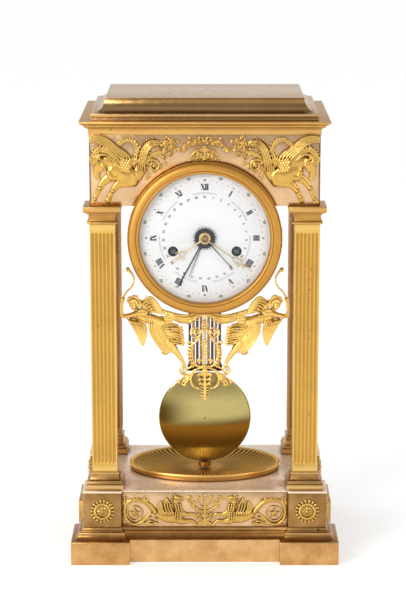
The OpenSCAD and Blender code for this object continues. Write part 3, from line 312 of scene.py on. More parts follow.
world = bpy.data.worlds.new("studio")
bpy.context.scene.world = world
world.use_nodes = True
tree = world.node_tree
sky = tree.nodes["Background"]
feed(tree, (1, 1, 1), sky.inputs["Color"])
feed(tree, SKY_LIGHT, sky.inputs["Strength"])
white = add_node(tree, "ShaderNodeBackground", Color=(1, 1, 1, 1))
full = add_node(tree, "ShaderNodeMix", B=1.0)
tree.links.new(tree.nodes.new("ShaderNodeLightPath").outputs["Is Camera Ray"], full.inputs["Factor"])
height = position(tree, "Generated")["Z"]
tree.links.new(map_range(tree, height, DIM_FROM, DIM_TO, HORIZON, OVERHEAD), full.inputs["A"])
tree.links.new(full.outputs["Result"], white.inputs["Strength"])
surface = mix_shaders(tree, seen_directly(tree), sky.outputs[0], white.outputs[0])
tree.links.new(surface, tree.nodes["World Output"].inputs["Surface"])
print("floor and world ready")

# %% Lamps and far wall
LAMP_AIM = Vector((0, 0, 0.25))


def soft_lamp(name, place, size, watts):
    bpy.ops.object.light_add(type="AREA", location=place)
    lamp = bpy.context.object
    lamp.name = name
    lamp.data.shape = "RECTANGLE"
    lamp.data.size, lamp.data.size_y = size
    lamp.data.energy = watts
    lamp.rotation_euler = (LAMP_AIM - Vector(place)).to_track_quat("-Z", "Y").to_euler()


def standing_card(name, x, y, z):
    """An upright card that only reflections see: its tree, its colour and the mask that shows it."""
    deselect()
    centre = (sum(x) / 2, y, sum(z) / 2)
    bpy.ops.mesh.primitive_plane_add(size=1, location=centre, rotation=(math.pi / 2, 0, 0))
    card = bpy.context.object
    card.name = name
    card.scale = (x[1] - x[0], z[1] - z[0], 1)
    bpy.ops.object.transform_apply(location=True, rotation=True, scale=True)
    paint, tree, _ = new_material(name)
    shine = tree.nodes.new("ShaderNodeEmission")
    mask = add_node(tree, "ShaderNodeMixShader", Fac=1.0)
    tree.links.new(tree.nodes.new("ShaderNodeBsdfTransparent").outputs[0], mask.inputs[1])
    tree.links.new(shine.outputs[0], mask.inputs[2])
    tree.links.new(mask.outputs[0], tree.nodes["Material Output"].inputs["Surface"])
    card.data.materials.append(paint)
    for ray in ("camera", "diffuse", "transmission", "shadow"):
        setattr(card, f"visible_{ray}", False)
    return tree, shine.inputs["Color"], mask.inputs["Fac"]


soft_lamp("left_lamp", (-1.4, -1.7, 1.3), (0.9, 1.2), 35)
soft_lamp("right_lamp", (1.7, -1.5, 0.9), (0.8, 1.2), 6)
tree, colour, _ = standing_card("far_wall", (-8, 8), -6.0, (0.0, 2.8))
feed(tree, (0.66, 0.66, 0.66), colour)

# %% Card in front of the bob, a painted reflection
CARD_HALF, CARD_Y = 0.075, -0.0315
CARD_TILT = -0.04
DEEP_BROWN, WARM_BROWN, OLIVE = (0.22, 0.095, 0.024), (0.58, 0.285, 0.07), (0.20, 0.14, 0.045)


def from_bob(first, second):
    """Two heights above the bob's centre, as heights in the scene."""
    return (BOB_Z + first) * MM, (BOB_Z + second) * MM


def soft_step(tree, source, start, end):
    return map_range(tree, source, start, end, kind="SMOOTHSTEP")


# The card glows in soft bands of brown and olive, darker on the left: a painted reflection of the gilt base
# and the dish in the lower half of the bob.
tree, colour, mask = standing_card("bob_reflection_card", (-CARD_HALF, CARD_HALF), CARD_Y, from_bob(-49.7, 37.5))
x, _, z = position(tree)
lower = soft_step(tree, calculate(tree, "MULTIPLY_ADD", x, CARD_TILT, z), *from_bob(-3.5, -18.5))
left = soft_step(tree, x, -0.006, -0.058)
upper_left = calculate(tree, "MULTIPLY", left, soft_step(tree, z, *from_bob(37.5, 1.5)))
feed(tree, calculate(tree, "MAXIMUM", lower, upper_left), mask)
brown = blend_colour(tree, DEEP_BROWN, WARM_BROWN, soft_step(tree, z, *from_bob(-42.5, -16.5)))
feed(tree, blend_colour(tree, brown, OLIVE, soft_step(tree, z, *from_bob(-20.5, -10.5))), colour)
print("card from", *(round(height, 4) for height in from_bob(-49.7, 37.5)))

# %% [markdown]
# ## Finishes
# Old gilding is never one colour. Handling leaves paler and redder patches, dust and painted shade darken
# the hollows, rubbing brightens the crests, and small dark specks show where the gold has gone. Three node
# groups hold these effects, and each metal uses them with its own colours.

# %% Groups: age marks, dust and painted shade in hollows, crests, cast grain
def new_group(name, inputs, outputs):
    group = bpy.data.node_groups.new(name, "ShaderNodeTree")
    for label, value in inputs.items():
        socket = group.interface.new_socket(label, in_out="INPUT", socket_type="NodeSocketFloat")
        socket.default_value = value
    for label in outputs:
        group.interface.new_socket(label, in_out="OUTPUT", socket_type="NodeSocketFloat")
    return group, group.nodes.new("NodeGroupInput"), group.nodes.new("NodeGroupOutput")


def noise(tree, scale, detail, roughness):
    node = add_node(tree, "ShaderNodeTexNoise", Detail=detail, Roughness=roughness)
    tree.links.new(tree.nodes.new("ShaderNodeTexCoord").outputs["Object"], node.inputs["Vector"])
    feed(tree, scale, node.inputs["Scale"])
    return node.outputs["Fac"]


def age_marks_group():
    group, given, out = new_group("age_marks", {"Patch Scale": 28.0, "Speck Scale": 75.0},
                                  ("Patch", "Cloud", "Speck"))
    patch = noise(group, given.outputs["Patch Scale"], 5.0, 0.62)
    group.links.new(map_range(group, patch, 0.36, 0.64), out.inputs["Patch"])
    cloud = noise(group, 150.0, 5.0, 0.62)
    group.links.new(map_range(group, cloud, 0.3, 0.7), out.inputs["Cloud"])
    cells = group.nodes.new("ShaderNodeTexVoronoi")
    group.links.new(group.nodes.new("ShaderNodeTexCoord").outputs["Object"], cells.inputs["Vector"])
    group.links.new(given.outputs["Speck Scale"], cells.inputs["Scale"])
    spot = map_range(group, cells.outputs["Distance"], 0.13, 0.05)
    split = group.nodes.new("ShaderNodeSeparateColor")
    group.links.new(cells.outputs["Color"], split.inputs["Color"])
    chosen = map_range(group, split.outputs["Red"], 0.80, 0.84)
    group.links.new(calculate(group, "MULTIPLY", spot, chosen), out.inputs["Speck"])
    return group


def relief_group():
    group, _, out = new_group("dust_shade_and_crests", {}, ("Hollow", "Crest"))
    shape = group.nodes.new("ShaderNodeNewGeometry").outputs["Pointiness"]
    # Dust and painted shade: the occlusion test darkens creases and the plate round each mount where shade
    # falls, and low pointiness darkens concave places.
    nook = add_node(group, "ShaderNodeAmbientOcclusion", Distance=0.0035)
    nook.samples = 8
    dent = map_range(group, shape, 0.495, 0.43)
    shade = map_range(group, nook.outputs["AO"], 0.92, 0.42)
    group.links.new(calculate(group, "MAXIMUM", dent, shade), out.inputs["Hollow"])
    group.links.new(map_range(group, shape, 0.51, 0.58), out.inputs["Crest"])
    return group


def grain_group():
    group, given, out = new_group("cast_grain", {"Grain Scale": 1500.0}, ("Height",))
    group.links.new(noise(group, given.outputs["Grain Scale"], 3.0, 0.6), out.inputs["Height"])
    return group


age_marks, relief_marks, cast_grain = age_marks_group(), relief_group(), grain_group()
print("groups", [group.name for group in bpy.data.node_groups])

# %% A metal from its colours
ROUGH_DOWN, ROUGH_UP = 0.05, 0.08
GRAIN_HEIGHT = 0.0003
SPECK_SHADE = 0.12


def use_group(tree, group, **values):
    node = tree.nodes.new("ShaderNodeGroup")
    node.node_tree = group
    for key, value in values.items():
        node.inputs[key.replace("_", " ")].default_value = value
    return node.outputs


def metal(name, rough, colour, patch, hollow, crest, specks=0.8, patch_scale=28.0, speck_scale=75.0,
          grain=0.12, grain_scale=1500.0, hollow_depth=0.8, crest_depth=0.6):
    """Colours of the metal, of its patches, of the dust and painted shade in its hollows and of its rubbed
    crests.
    """
    material, tree, shader = new_material(name)
    feed(tree, 1, shader.inputs["Metallic"])
    marks = use_group(tree, age_marks, Patch_Scale=patch_scale, Speck_Scale=speck_scale)
    relief = use_group(tree, relief_marks)
    paint = blend_colour(tree, colour, patch, marks["Patch"])
    paint = blend_colour(tree, paint, crest, calculate(tree, "MULTIPLY", relief["Crest"], crest_depth))
    # Dust and painted shade: the hollow colour goes where the relief group finds creases and occluded places.
    paint = blend_colour(tree, paint, hollow, calculate(tree, "MULTIPLY", relief["Hollow"], hollow_depth))
    speck = tuple(SPECK_SHADE * c for c in hollow)
    paint = blend_colour(tree, paint, speck, calculate(tree, "MULTIPLY", marks["Speck"], specks))
    feed(tree, paint, shader.inputs["Base Color"])
    wear = map_range(tree, marks["Cloud"], 0, 1, rough - ROUGH_DOWN, rough + ROUGH_UP)
    feed(tree, wear, shader.inputs["Roughness"])
    bump = add_node(tree, "ShaderNodeBump", Strength=grain, Distance=GRAIN_HEIGHT)
    feed(tree, use_group(tree, cast_grain, Grain_Scale=grain_scale)["Height"], bump.inputs["Height"])
    feed(tree, bump.outputs["Normal"], shader.inputs["Normal"])
    return material


def plain_input(material, label, value):
    feed(material.node_tree, value, material.node_tree.nodes["Principled BSDF"].inputs[label])


# %% The gilt finishes
matt_gilt = metal("matt_gilt", 0.36, (0.51, 0.272, 0.062), (0.42, 0.190, 0.044), (0.20, 0.09, 0.018),
                  (0.76, 0.48, 0.16), grain=0.3, hollow_depth=0.35)
relief_gilt = metal("relief_gilt", 0.28, (0.66, 0.385, 0.085), (0.62, 0.385, 0.10), (0.13, 0.055, 0.01),
                    (0.95, 0.72, 0.32), specks=0.5, grain=0.4, grain_scale=900.0, hollow_depth=0.97)
burnished_gilt = metal("burnished_gilt", 0.20, (0.72, 0.475, 0.265), (0.56, 0.340, 0.165), (0.34, 0.18, 0.07),
                       (0.86, 0.68, 0.45), specks=0.7, patch_scale=34.0, grain=0.04, crest_depth=0.08)
die_gilt = metal("die_gilt", 0.28, (0.42, 0.232, 0.080), (0.28, 0.138, 0.038), (0.09, 0.045, 0.012),
                 (0.55, 0.36, 0.16), specks=0.7, patch_scale=60.0, grain=0.08, crest_depth=0.08)
plinth_gilt = metal("plinth_gilt", 0.30, (0.42, 0.198, 0.058), (0.28, 0.118, 0.028), (0.16, 0.07, 0.015),
                    (0.80, 0.55, 0.22), patch_scale=45.0, grain=0.15, hollow_depth=0.7)
shaft_gilt = metal("shaft_gilt", 0.36, (0.70, 0.42, 0.092), (0.62, 0.355, 0.08), (0.34, 0.17, 0.03),
                   (0.86, 0.60, 0.20), speck_scale=110.0, grain=0.3, hollow_depth=0.6)
roof_gilt = metal("roof_gilt", 0.22, (0.46, 0.255, 0.085), (0.38, 0.20, 0.06), (0.14, 0.06, 0.015),
                  (0.75, 0.52, 0.26), patch_scale=20.0, grain=0.06)
floor_gilt = metal("floor_gilt", 0.30, (0.86, 0.69, 0.53), (0.78, 0.60, 0.45), (0.30, 0.16, 0.06),
                   (0.85, 0.68, 0.48), specks=0.25, patch_scale=18.0, grain=0.03)
plain_input(floor_gilt, "Metallic", 0.55)
# A dark gilt for the rating nut, the brass rods and the collar; on the rear shafts it is painted shade, for
# they stand in the shade of the case.
tarnish_and_shade_gilt = metal("tarnish_and_shade_gilt", 0.28, (0.40, 0.205, 0.078), (0.31, 0.148, 0.054),
                       (0.08, 0.035, 0.01), (0.60, 0.36, 0.15), specks=0.7, grain=0.2, hollow_depth=0.35)
bezel_gilt = metal("bezel_gilt", 0.48, (0.58, 0.298, 0.062), (0.53, 0.262, 0.054), (0.22, 0.09, 0.016),
                   (0.72, 0.43, 0.12), specks=0.4, grain=0.15, hollow_depth=0.6)
# A paler copy of the relief gilt for the figures and the filigree: painted light, for they stand in the shade
# under the drum.
lit_figure_gilt = metal("lit_figure_gilt", 0.28, (0.98, 0.65, 0.18), (0.92, 0.58, 0.15), (0.17, 0.070, 0.012),
                    (1.0, 0.85, 0.45), specks=0.3, grain=0.4, grain_scale=900.0, hollow_depth=0.92)
hand_gilt = metal("hand_gilt", 0.28, (0.86, 0.70, 0.32), (0.82, 0.64, 0.28), (0.40, 0.24, 0.08),
                  (0.95, 0.82, 0.46), specks=0.2, grain=0.05, hollow_depth=0.5)
dish_gilt = metal("dish_gilt", 0.34, (0.50, 0.275, 0.085), (0.44, 0.235, 0.07), (0.20, 0.10, 0.025),
                  (0.80, 0.52, 0.2), specks=0.0, grain=0.0, hollow_depth=0.0)
plain_input(dish_gilt, "Specular Tint", (0.92, 0.78, 0.58))
print("gilt finishes", [m.name for m in bpy.data.materials if m.name.endswith("gilt")])

# %% Brass and steel
satin_brass = metal("satin_brass", 0.15, (0.48, 0.395, 0.15), (0.46, 0.37, 0.135), (0.22, 0.13, 0.04),
                    (0.80, 0.66, 0.36), specks=0.12, grain=0.02)
movement_brass = metal("movement_brass", 0.30, (0.70, 0.50, 0.19), (0.66, 0.44, 0.16), (0.28, 0.16, 0.05),
                       (0.92, 0.76, 0.42), specks=0.4, grain=0.1)
plain_steel = metal("plain_steel", 0.30, (0.085, 0.092, 0.11), (0.07, 0.076, 0.092), (0.04, 0.04, 0.04),
                    (0.12, 0.125, 0.14), specks=0.4, grain=0.08)
blued_steel = metal("blued_steel", 0.28, (0.014, 0.017, 0.026), (0.020, 0.022, 0.028), (0.006, 0.006, 0.008),
                    (0.028, 0.031, 0.038), specks=0.0, grain=0.05)
# Near black and matte, for the cups behind the winding holes: painted shade.
shade_black_steel = metal("shade_black_steel", 0.7, (0.008, 0.008, 0.009), (0.012, 0.011, 0.010),
                      (0.004, 0.004, 0.004), (0.03, 0.03, 0.03), specks=0.0, grain=0.05)
plain_input(shade_black_steel, "Metallic", 0)
plain_input(shade_black_steel, "Specular IOR Level", 0.15)
print("brass and steel", [m.name for m in bpy.data.materials if m.name.endswith(("brass", "steel"))])

# %% Enamel and glass
enamel, tree, shader = new_material("white_enamel")
feed(tree, 0.12, shader.inputs["Roughness"])
feed(tree, 0.3, shader.inputs["Coat Weight"])
feed(tree, 0.05, shader.inputs["Coat Roughness"])
marks = use_group(tree, age_marks, Patch_Scale=40.0, Speck_Scale=60.0)
paint = blend_colour(tree, (0.94, 0.94, 0.94), (0.92, 0.923, 0.928), marks["Patch"])
paint = blend_colour(tree, paint, (0.55, 0.50, 0.42), calculate(tree, "MULTIPLY", marks["Speck"], 0.12))
feed(tree, paint, shader.inputs["Base Color"])

clear_glass, tree, shader = new_material("clear_glass")
feed(tree, (1, 1, 1), shader.inputs["Base Color"])
feed(tree, 0.03, shader.inputs["Roughness"])
feed(tree, add_node(tree, "ShaderNodeFresnel", IOR=1.35).outputs[0], shader.inputs["Alpha"])
print("enamel and glass ready")

# %% Dress the CAD nodes by their slots
finish_of = {"gilt_bronze": matt_gilt, "polished_gilt": burnished_gilt, "satin_brass": satin_brass,
             "movement_brass": movement_brass, "steel": plain_steel, "blued_steel": blued_steel,
             "enamel": enamel, "glass": clear_glass}
for node in nodes.values():
    slot_name = node.material_slots[0].material.name.split(".")[0]
    node.material_slots[0].material = finish_of[slot_name]
for name in ("rating_nut", "gridiron_brass_rods"):
    nodes[name].material_slots[0].material = tarnish_and_shade_gilt
print("dressed", len(nodes), "nodes")

# %% [markdown]
# ## Paler slab, darker frieze ends
# The slab of the plinth is painted paler than its mouldings, most of all between the corners: painted light,
# standing in for the light the slab catches. The frieze is darker at both ends. Each blend puts a clouded
# colour into a finish where the distance from the clock's middle plane and the height pass from one value to
# another.

# %% Painted light on the plinth slab, dark ends of the frieze
SLAB_TOP, CORNER = 24.5, 61.5
BLEND_DEPTH, BLEND_SCALE = 0.9, 52.0


def stain(material, light, dark, side, height):
    """Side and height are (none, full): where the blend is missing and where it is whole."""
    tree = material.node_tree
    clouded = blend_colour(tree, light, dark, use_group(tree, age_marks, Patch_Scale=BLEND_SCALE)["Patch"])
    x, _, z = position(tree)
    aside = map_range(tree, calculate(tree, "ABSOLUTE", x), *(value * MM for value in side))
    up = map_range(tree, z, *(value * MM for value in height))
    mask = calculate(tree, "MULTIPLY", calculate(tree, "MULTIPLY", aside, up), BLEND_DEPTH)
    colour = tree.nodes["Principled BSDF"].inputs["Base Color"]
    feed(tree, blend_colour(tree, colour.links[0].from_socket, clouded, mask), colour)


STEP_X = PLINTH_X - CORNER
on_slab = (SLAB_TOP + 0.1, SLAB_TOP - 0.5)
# Painted light on the slab: its corner faces, and paler still the part between them, stand in for the light
# the slab catches.
stain(plinth_gilt, (0.70, 0.40, 0.155), (0.48, 0.245, 0.075), (STEP_X - 0.1, STEP_X + 0.1), on_slab)
stain(plinth_gilt, (0.80, 0.50, 0.22), (0.60, 0.33, 0.12), (STEP_X + 0.1, STEP_X - 0.1), on_slab)
frieze_gilt = burnished_gilt.copy()
frieze_gilt.name = "frieze_gilt"
# The frieze is darker in a narrow band at both ends.
stain(frieze_gilt, (0.22, 0.10, 0.03), (0.08, 0.032, 0.01), (FRIEZE_X - 2.4, FRIEZE_X - 0.8),
      (FRIEZE_FOOT - 7.5, FRIEZE_FOOT - 5.5))
print("blended", plinth_gilt.name, frieze_gilt.name)

# %% [markdown]
# ## Mouldings
# Plinth, pillar feet, capitals, cornice and roof are all the same kind of thing: a rectangle that grows
# and shrinks as it rises. We add a plane, then extrude and resize it step by step along a profile, which
# gives true mitred corners. Curved steps are cut into short ones, and a bevel softens what stays sharp.

# %% Extruding a profile
def rectangle(half_x, half_y, z):
    return -half_x, half_x, -half_y, half_y, z


def loft(name, rectangles):
    """Each rectangle is (x0, x1, y0, y1, z) in millimetres."""
    deselect()
    x0, x1, y0, y1, z = rectangles[0]
    bpy.ops.mesh.primitive_plane_add(size=1, location=((x0 + x1) / 2 * MM, (y0 + y1) / 2 * MM, z * MM))
    piece = bpy.context.object
    piece.name = name
    piece.scale = ((x1 - x0) * MM, (y1 - y0) * MM, 1)
    bpy.ops.object.transform_apply(location=True, rotation=True, scale=True)
    edit(piece)
    for u0, u1, v0, v1, w in rectangles[1:]:
        bpy.ops.mesh.extrude_region_move(TRANSFORM_OT_translate={"value": (
            (u0 + u1 - x0 - x1) / 2 * MM, (v0 + v1 - y0 - y1) / 2 * MM, (w - z) * MM)})
        bpy.ops.transform.resize(value=((u1 - u0) / (x1 - x0), (v1 - v0) / (y1 - y0), 1),
                                 center_override=((u0 + u1) / 2 * MM, (v0 + v1) / 2 * MM, w * MM))
        x0, x1, y0, y1, z = u0, u1, v0, v1, w
    bpy.ops.mesh.select_all(action="SELECT")
    bpy.ops.mesh.normals_make_consistent(inside=False)
    bpy.ops.object.mode_set(mode="OBJECT")
    return piece


def block(name, half_x, half_y, low, high):
    return loft(name, [rectangle(half_x, half_y, low), rectangle(half_x, half_y, high)])


def moulding(name, half_x, half_y, z, profile):
    """The profile is a list of (stand-out, height)."""
    return loft(name, [rectangle(half_x + out, half_y + out, z + up) for out, up in profile])


def curve(out, up, d_out, d_up, start=0, end=90, steps=8):
    """Part of an ellipse from start to end degrees: sine outwards and versed sine upwards."""
    angles = [math.radians(start + (end - start) * i / steps) for i in range(steps + 1)]
    return [(out + d_out * math.sin(a), up + d_up * (1 - math.cos(a))) for a in angles]


def bead(out, up, radius, steps=8):
    angles = [math.radians(-80 + 160 * i / steps) for i in range(steps + 1)]
    return [(out + radius * math.cos(a), up + radius * math.sin(a)) for a in angles]


def combine(piece, tool, operation):
    apply_modifier(piece, "BOOLEAN", operation=operation, object=tool, solver="EXACT")
    bpy.data.objects.remove(tool)


# %% Plinth
SET_BACK, WALL, COVER = 10, 12, 3
CORE_X, CORE_Y = PLINTH_X - SET_BACK, PLINTH_Y - SET_BACK
CORE_DRAW, CORNER_IN, CORNER_OUT = 8, 9, 13
draw_in = [(0, 0.0), (0, SLAB_TOP)] + curve(0, SLAB_TOP + 0.5, 0.6, 6.1)[1:]
draw_in += [(0.6, SLAB_TOP + 8.2), (0.66, SLAB_TOP + 8.5), (0.80, SLAB_TOP + 8.6), (0.82, SLAB_TOP + 9.6)]
draw_in += [(0.90, SLAB_TOP + 10.2), (0.92, DIE_FOOT)]
core = [rectangle(CORE_X - CORE_DRAW * c, CORE_Y - CORE_DRAW * c, z) for c, z in draw_in]
plinth = loft("plinth_moulded", core)


def corner_side(sign, reach, c):
    """The two edges of a corner block along one axis, drawn in by the share c."""
    return sorted((sign * (reach - CORNER + CORNER_IN * c), sign * (reach - CORNER_OUT * c)))


for sx in (-1, 1):
    for sy in (-1, 1):
        corner = [(*corner_side(sx, PLINTH_X, c), *corner_side(sy, PLINTH_Y, c), z) for c, z in draw_in]
        combine(plinth, loft("corner", corner), "UNION")
combine(plinth, block("hollow", CORE_X - WALL, CORE_Y - WALL, -1, DIE_FOOT - COVER), "DIFFERENCE")
soften(plinth, 0.45)
fit(plinth, "case", "gilt_bronze", plinth_gilt, "plinth")

# %% Feet and capitals
FOOT, NECK = 19.35, 13.6
ABACUS = FOOT - NECK
foot_profile = [(0, 0), (0, 5.7), (-0.35, 6.1), (-1.3, 6.2), (-1.3, 6.9)] + bead(-1.9, 7.9, 1.0)
foot_profile += [(-1.75, 8.95), (-1.75, 9.5)] + curve(-2.0, 9.6, -3.1, 6.9) + [(-4.5, 16.8), (-4.5, 18.5)]
foot = moulding("pillar_foot", FOOT, FOOT, FLOOR_TOP, foot_profile)
soften(foot, 0.25)
capital_profile = [(0, 0), (0.2, 0.5)] + bead(0.9, 1.8, 1.2) + [(0.35, 3.1), (0.1, 3.7), (0, 4.2)]
capital_profile += [(0.1, 9.8), (0.7, 10.2), (1.6, 10.4), (1.6, 11.5)] + curve(1.7, 11.6, 3.9, 3.0)
capital_profile += [(ABACUS - 0.1, 14.8), (ABACUS, 15.1), (ABACUS, 18.7), (ABACUS - 0.3, 19)]
capital = moulding("pillar_capital", NECK, NECK, SHAFT_HIGH, capital_profile)
soften(capital, 0.25)


def at_places(piece, name, places):
    """Copies of the piece at each (x, y), joined into one."""
    copies = []
    for x, y in places:
        copies.append(copy_of(piece, name))
        move_mesh(copies[-1], x, y)
    return join(name, copies)


pillars = [(sx * PILLAR_X, sy * PILLAR_Y) for sx in (-1, 1) for sy in (-1, 1)]
fit(at_places(foot, "moulded_feet", pillars), "case", "gilt_bronze", plinth_gilt, "pillar_feet")
fit(at_places(capital, "moulded_capitals", pillars), "case", "gilt_bronze", matt_gilt, "pillar_capitals")
bpy.data.objects.remove(foot)
bpy.data.objects.remove(capital)

# %% Cornice and roof
FRIEZE_Y = -FRIEZE_FACE
INNER_X, INNER_Y = FRIEZE_X - 5, FRIEZE_Y - 5
CROWN_X, CROWN_Y = FRIEZE_X - 22, FRIEZE_Y - 22
cornice_profile = [(0.8, 0), (0.8, 5.4), (1.1, 5.8), (1.9, 5.9), (1.9, 6.6)] + curve(2.1, 6.7, 3.2, 2.6)
cornice_profile += [(5.4, 9.9), (6.0, 10.0)] + curve(6.0, 10.0, 2.2, 1.6, 0, 80)
cornice_profile += [(9.6, 11.7), (10, 11.9), (10, 13.7), (9.7, 14)]
cornice = moulding("cornice_moulded", FRIEZE_X, FRIEZE_Y, FRIEZE_TOP, cornice_profile)
combine(cornice, block("hollow", INNER_X, INNER_Y, FRIEZE_TOP - 10.5, ROOF_FOOT - 3), "DIFFERENCE")
soften(cornice, 0.25)
fit(cornice, "case", "gilt_bronze", matt_gilt, "cornice")

roof_profile = [(-1.8, 0), (-1.8, 1.8), (-2.6, 2.0), (-2.6, 3.6), (-1.6, 3.8), (-1.6, 6.5)]
roof_profile += curve(-1.9, 6.6, -14.1, 13.9, steps=14) + [(-16, 20.7), (-16.3, 21)]
roof = moulding("roof_moulded", FRIEZE_X, FRIEZE_Y, ROOF_FOOT, roof_profile)
combine(roof, block("hollow", INNER_X, INNER_Y, ROOF_FOOT - 4.5, ROOF_FOOT + 5), "DIFFERENCE")
combine(roof, block("hollow", CROWN_X, CROWN_Y, ROOF_FOOT - 0.5, ROOF_FOOT + 18), "DIFFERENCE")
soften(roof, 0.3)
fit(roof, "case", "polished_gilt", roof_gilt, "roof_cap")

# %% [markdown]
# ## Fluted shafts
# A shaft is a square bar with six flutes on each face, rounded at both ends. A sphere pulled in half
# makes a round-ended cutter, and one boolean takes all the flutes out of the bar.

# %% Shafts
FLUTE_COUNT, FLUTE_R, FLUTE_PITCH, FLUTE_OUT = 6, 1.75, 3.933, 0.95
EDGE_LAND, END_LAND = 1.2, 10.5
deselect()
bpy.ops.mesh.primitive_uv_sphere_add(segments=16, ring_count=8, radius=FLUTE_R * MM)
cutter = bpy.context.object
for vertex in cutter.data.vertices:
    upper_half = vertex.co.z > 0.0002 * MM
    vertex.co.z += (SHAFT_HIGH - END_LAND if upper_half else SHAFT_LOW + END_LAND) * MM
first = -SHAFT_HALF + EDGE_LAND + FLUTE_PITCH / 2
flute_row = [(first + FLUTE_PITCH * i, -SHAFT_HALF - FLUTE_OUT) for i in range(FLUTE_COUNT)]
sides = [at_places(cutter, "flutes", flute_row)]
bpy.data.objects.remove(cutter)
for quarter in (1, 2, 3):
    sides.append(copy_of(sides[0], "flutes"))
    turn_mesh(sides[-1], 90 * quarter)
shaft = block("shaft", SHAFT_HALF, SHAFT_HALF, SHAFT_LOW, SHAFT_HIGH)
combine(shaft, join("flutes", sides), "DIFFERENCE")
soften(shaft, 0.15, 1, 40)
# The rear shafts take the dark gilt as painted shade: they stand in the shade of the case.
for row, y, finish in (("front", -PILLAR_Y, shaft_gilt), ("rear", PILLAR_Y, tarnish_and_shade_gilt)):
    pair = at_places(shaft, f"{row}_fluted_shafts", [(-PILLAR_X, y), (PILLAR_X, y)])
    fit(pair, "case", "gilt_bronze", finish, f"{row}_pillar_shafts")
bpy.data.objects.remove(shaft)

# %% [markdown]
# ## Plates
# The dies, panels, floor and frieze are flat polished plates whose CAD shape is right. A copy of each has
# its doubled points merged and its edges softened, so that the edges catch the light.

# %% Softened plates
def softened(node, name, width=0.3):
    piece = copy_of(nodes[node], name)
    del piece["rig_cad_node"]
    edit(piece)
    bpy.ops.mesh.remove_doubles(threshold=0.00001)
    bpy.ops.mesh.dissolve_limited(angle_limit=math.radians(1))
    bpy.ops.object.mode_set(mode="OBJECT")
    soften(piece, width)
    return piece


plate_finish = {"corner_dies": die_gilt, "base_panels": burnished_gilt, "floor_plate": floor_gilt,
                "frieze_front": frieze_gilt, "frieze_panels": burnished_gilt}
for node, finish in plate_finish.items():
    fit(softened(node, f"{node}_plate"), "case", "polished_gilt", finish, node)

# %% [markdown]
# ## Turned pieces
# The bezel and the bob came off a lathe. Blender's spin does the same: we draw half a section as a line
# of points, one extruded from the other, and turn it round the axis of the dial or of the bob.

# %% Spinning a section
def turned(name, section, centre, steps=96, axis=(0, 1, 0)):
    """The section is a list of (radius, distance along the axis), in millimetres."""
    deselect()
    along = Vector(axis)
    points = [Vector((r, 0, 0)) * MM + along * (d * MM) + Vector(centre) * MM for r, d in section]
    bpy.ops.mesh.primitive_plane_add(size=MM, location=points[0])
    piece = bpy.context.object
    piece.name = name
    bpy.ops.object.transform_apply(location=True, rotation=True, scale=True)
    edit(piece)
    bpy.ops.mesh.merge(type="CENTER")
    for before, after in zip(points, points[1:]):
        bpy.ops.mesh.extrude_vertices_move(TRANSFORM_OT_translate={"value": after - before})
    bpy.ops.mesh.select_all(action="SELECT")
    bpy.ops.mesh.spin(steps=steps, angle=2 * math.pi, center=[c * MM for c in centre], axis=axis)
    bpy.ops.mesh.select_all(action="SELECT")
    bpy.ops.mesh.remove_doubles(threshold=0.000001)
    bpy.ops.mesh.normals_make_consistent(inside=False)
    bpy.ops.object.mode_set(mode="OBJECT")
    activate(piece)
    bpy.ops.object.shade_smooth_by_angle(angle=math.radians(35))
    return piece


def arc(r, d, half_width, height, start, end, steps):
    """Points of an ellipse round (r, d): 0 degrees lies outwards, 90 against the axis."""
    angles = [math.radians(start + (end - start) * i / steps) for i in range(steps + 1)]
    return [(r + half_width * math.cos(a), d - height * math.sin(a)) for a in angles]


# %% Bezel
HINGE_X, HINGE_Y, KNUCKLE_R, KNUCKLE_H = 77.7, -77.2, 1.4, 9
bezel_section = [(66.8, -78.8), (79, -78.8), (79, -83.6), (78.5, -84.0), (78.25, -83.9)]
bezel_section += arc(71.6, -84.2, 6.5, 3.85, 0, 90, 9) + [(70.5, -87.8), (70.0, -87.1)]
bezel_section += arc(69.1, -83.4, 2.3, 4.15, 75, 180, 8) + [(66.8, -78.8)]
bezel = turned("turned_bezel", bezel_section, (0, 0, DIAL_Z), steps=160)
deselect()
bpy.ops.mesh.primitive_cylinder_add(vertices=24, radius=KNUCKLE_R * MM, depth=KNUCKLE_H * MM,
                                    location=(HINGE_X * MM, HINGE_Y * MM, DIAL_Z * MM))
knuckle = bpy.context.object
bpy.ops.object.transform_apply(location=True, rotation=True, scale=True)
soften(knuckle, 0.2)
lug = loft("lug", [(76.5, 78.6, -79.4, HINGE_Y, DIAL_Z + end * KNUCKLE_H / 2) for end in (-1, 1)])
soften(lug, 0.15)
fit(join("turned_bezel", [bezel, knuckle, lug]), "bezel", "gilt_bronze", bezel_gilt, "bezel_ring")

# %% Winding holes, with near-black cups as painted shade
CUP_OUT, CUP_FACE, CUP_BACK = 5.12, -77.95, -70.75
cup_section = [(CUP_OUT, CUP_FACE), (CUP_OUT, CUP_BACK), (3.3, CUP_BACK), (3.3, CUP_BACK - 0.3)]
cup_section += [(4.7, CUP_BACK - 0.3), (4.85, CUP_FACE), (CUP_OUT, CUP_FACE)]
cups = []
for arbor in ("strike_arbor", "going_arbor"):
    x, _, z = middle(arbor)
    cups.append(turned("cup", cup_section, (x, 0, z), steps=40))
# The cups are near black: painted shade, a dark lining that stands in for the dark inside of the movement
# behind the holes.
fit(join("winding_shade_cups", cups), "case", "steel", shade_black_steel)

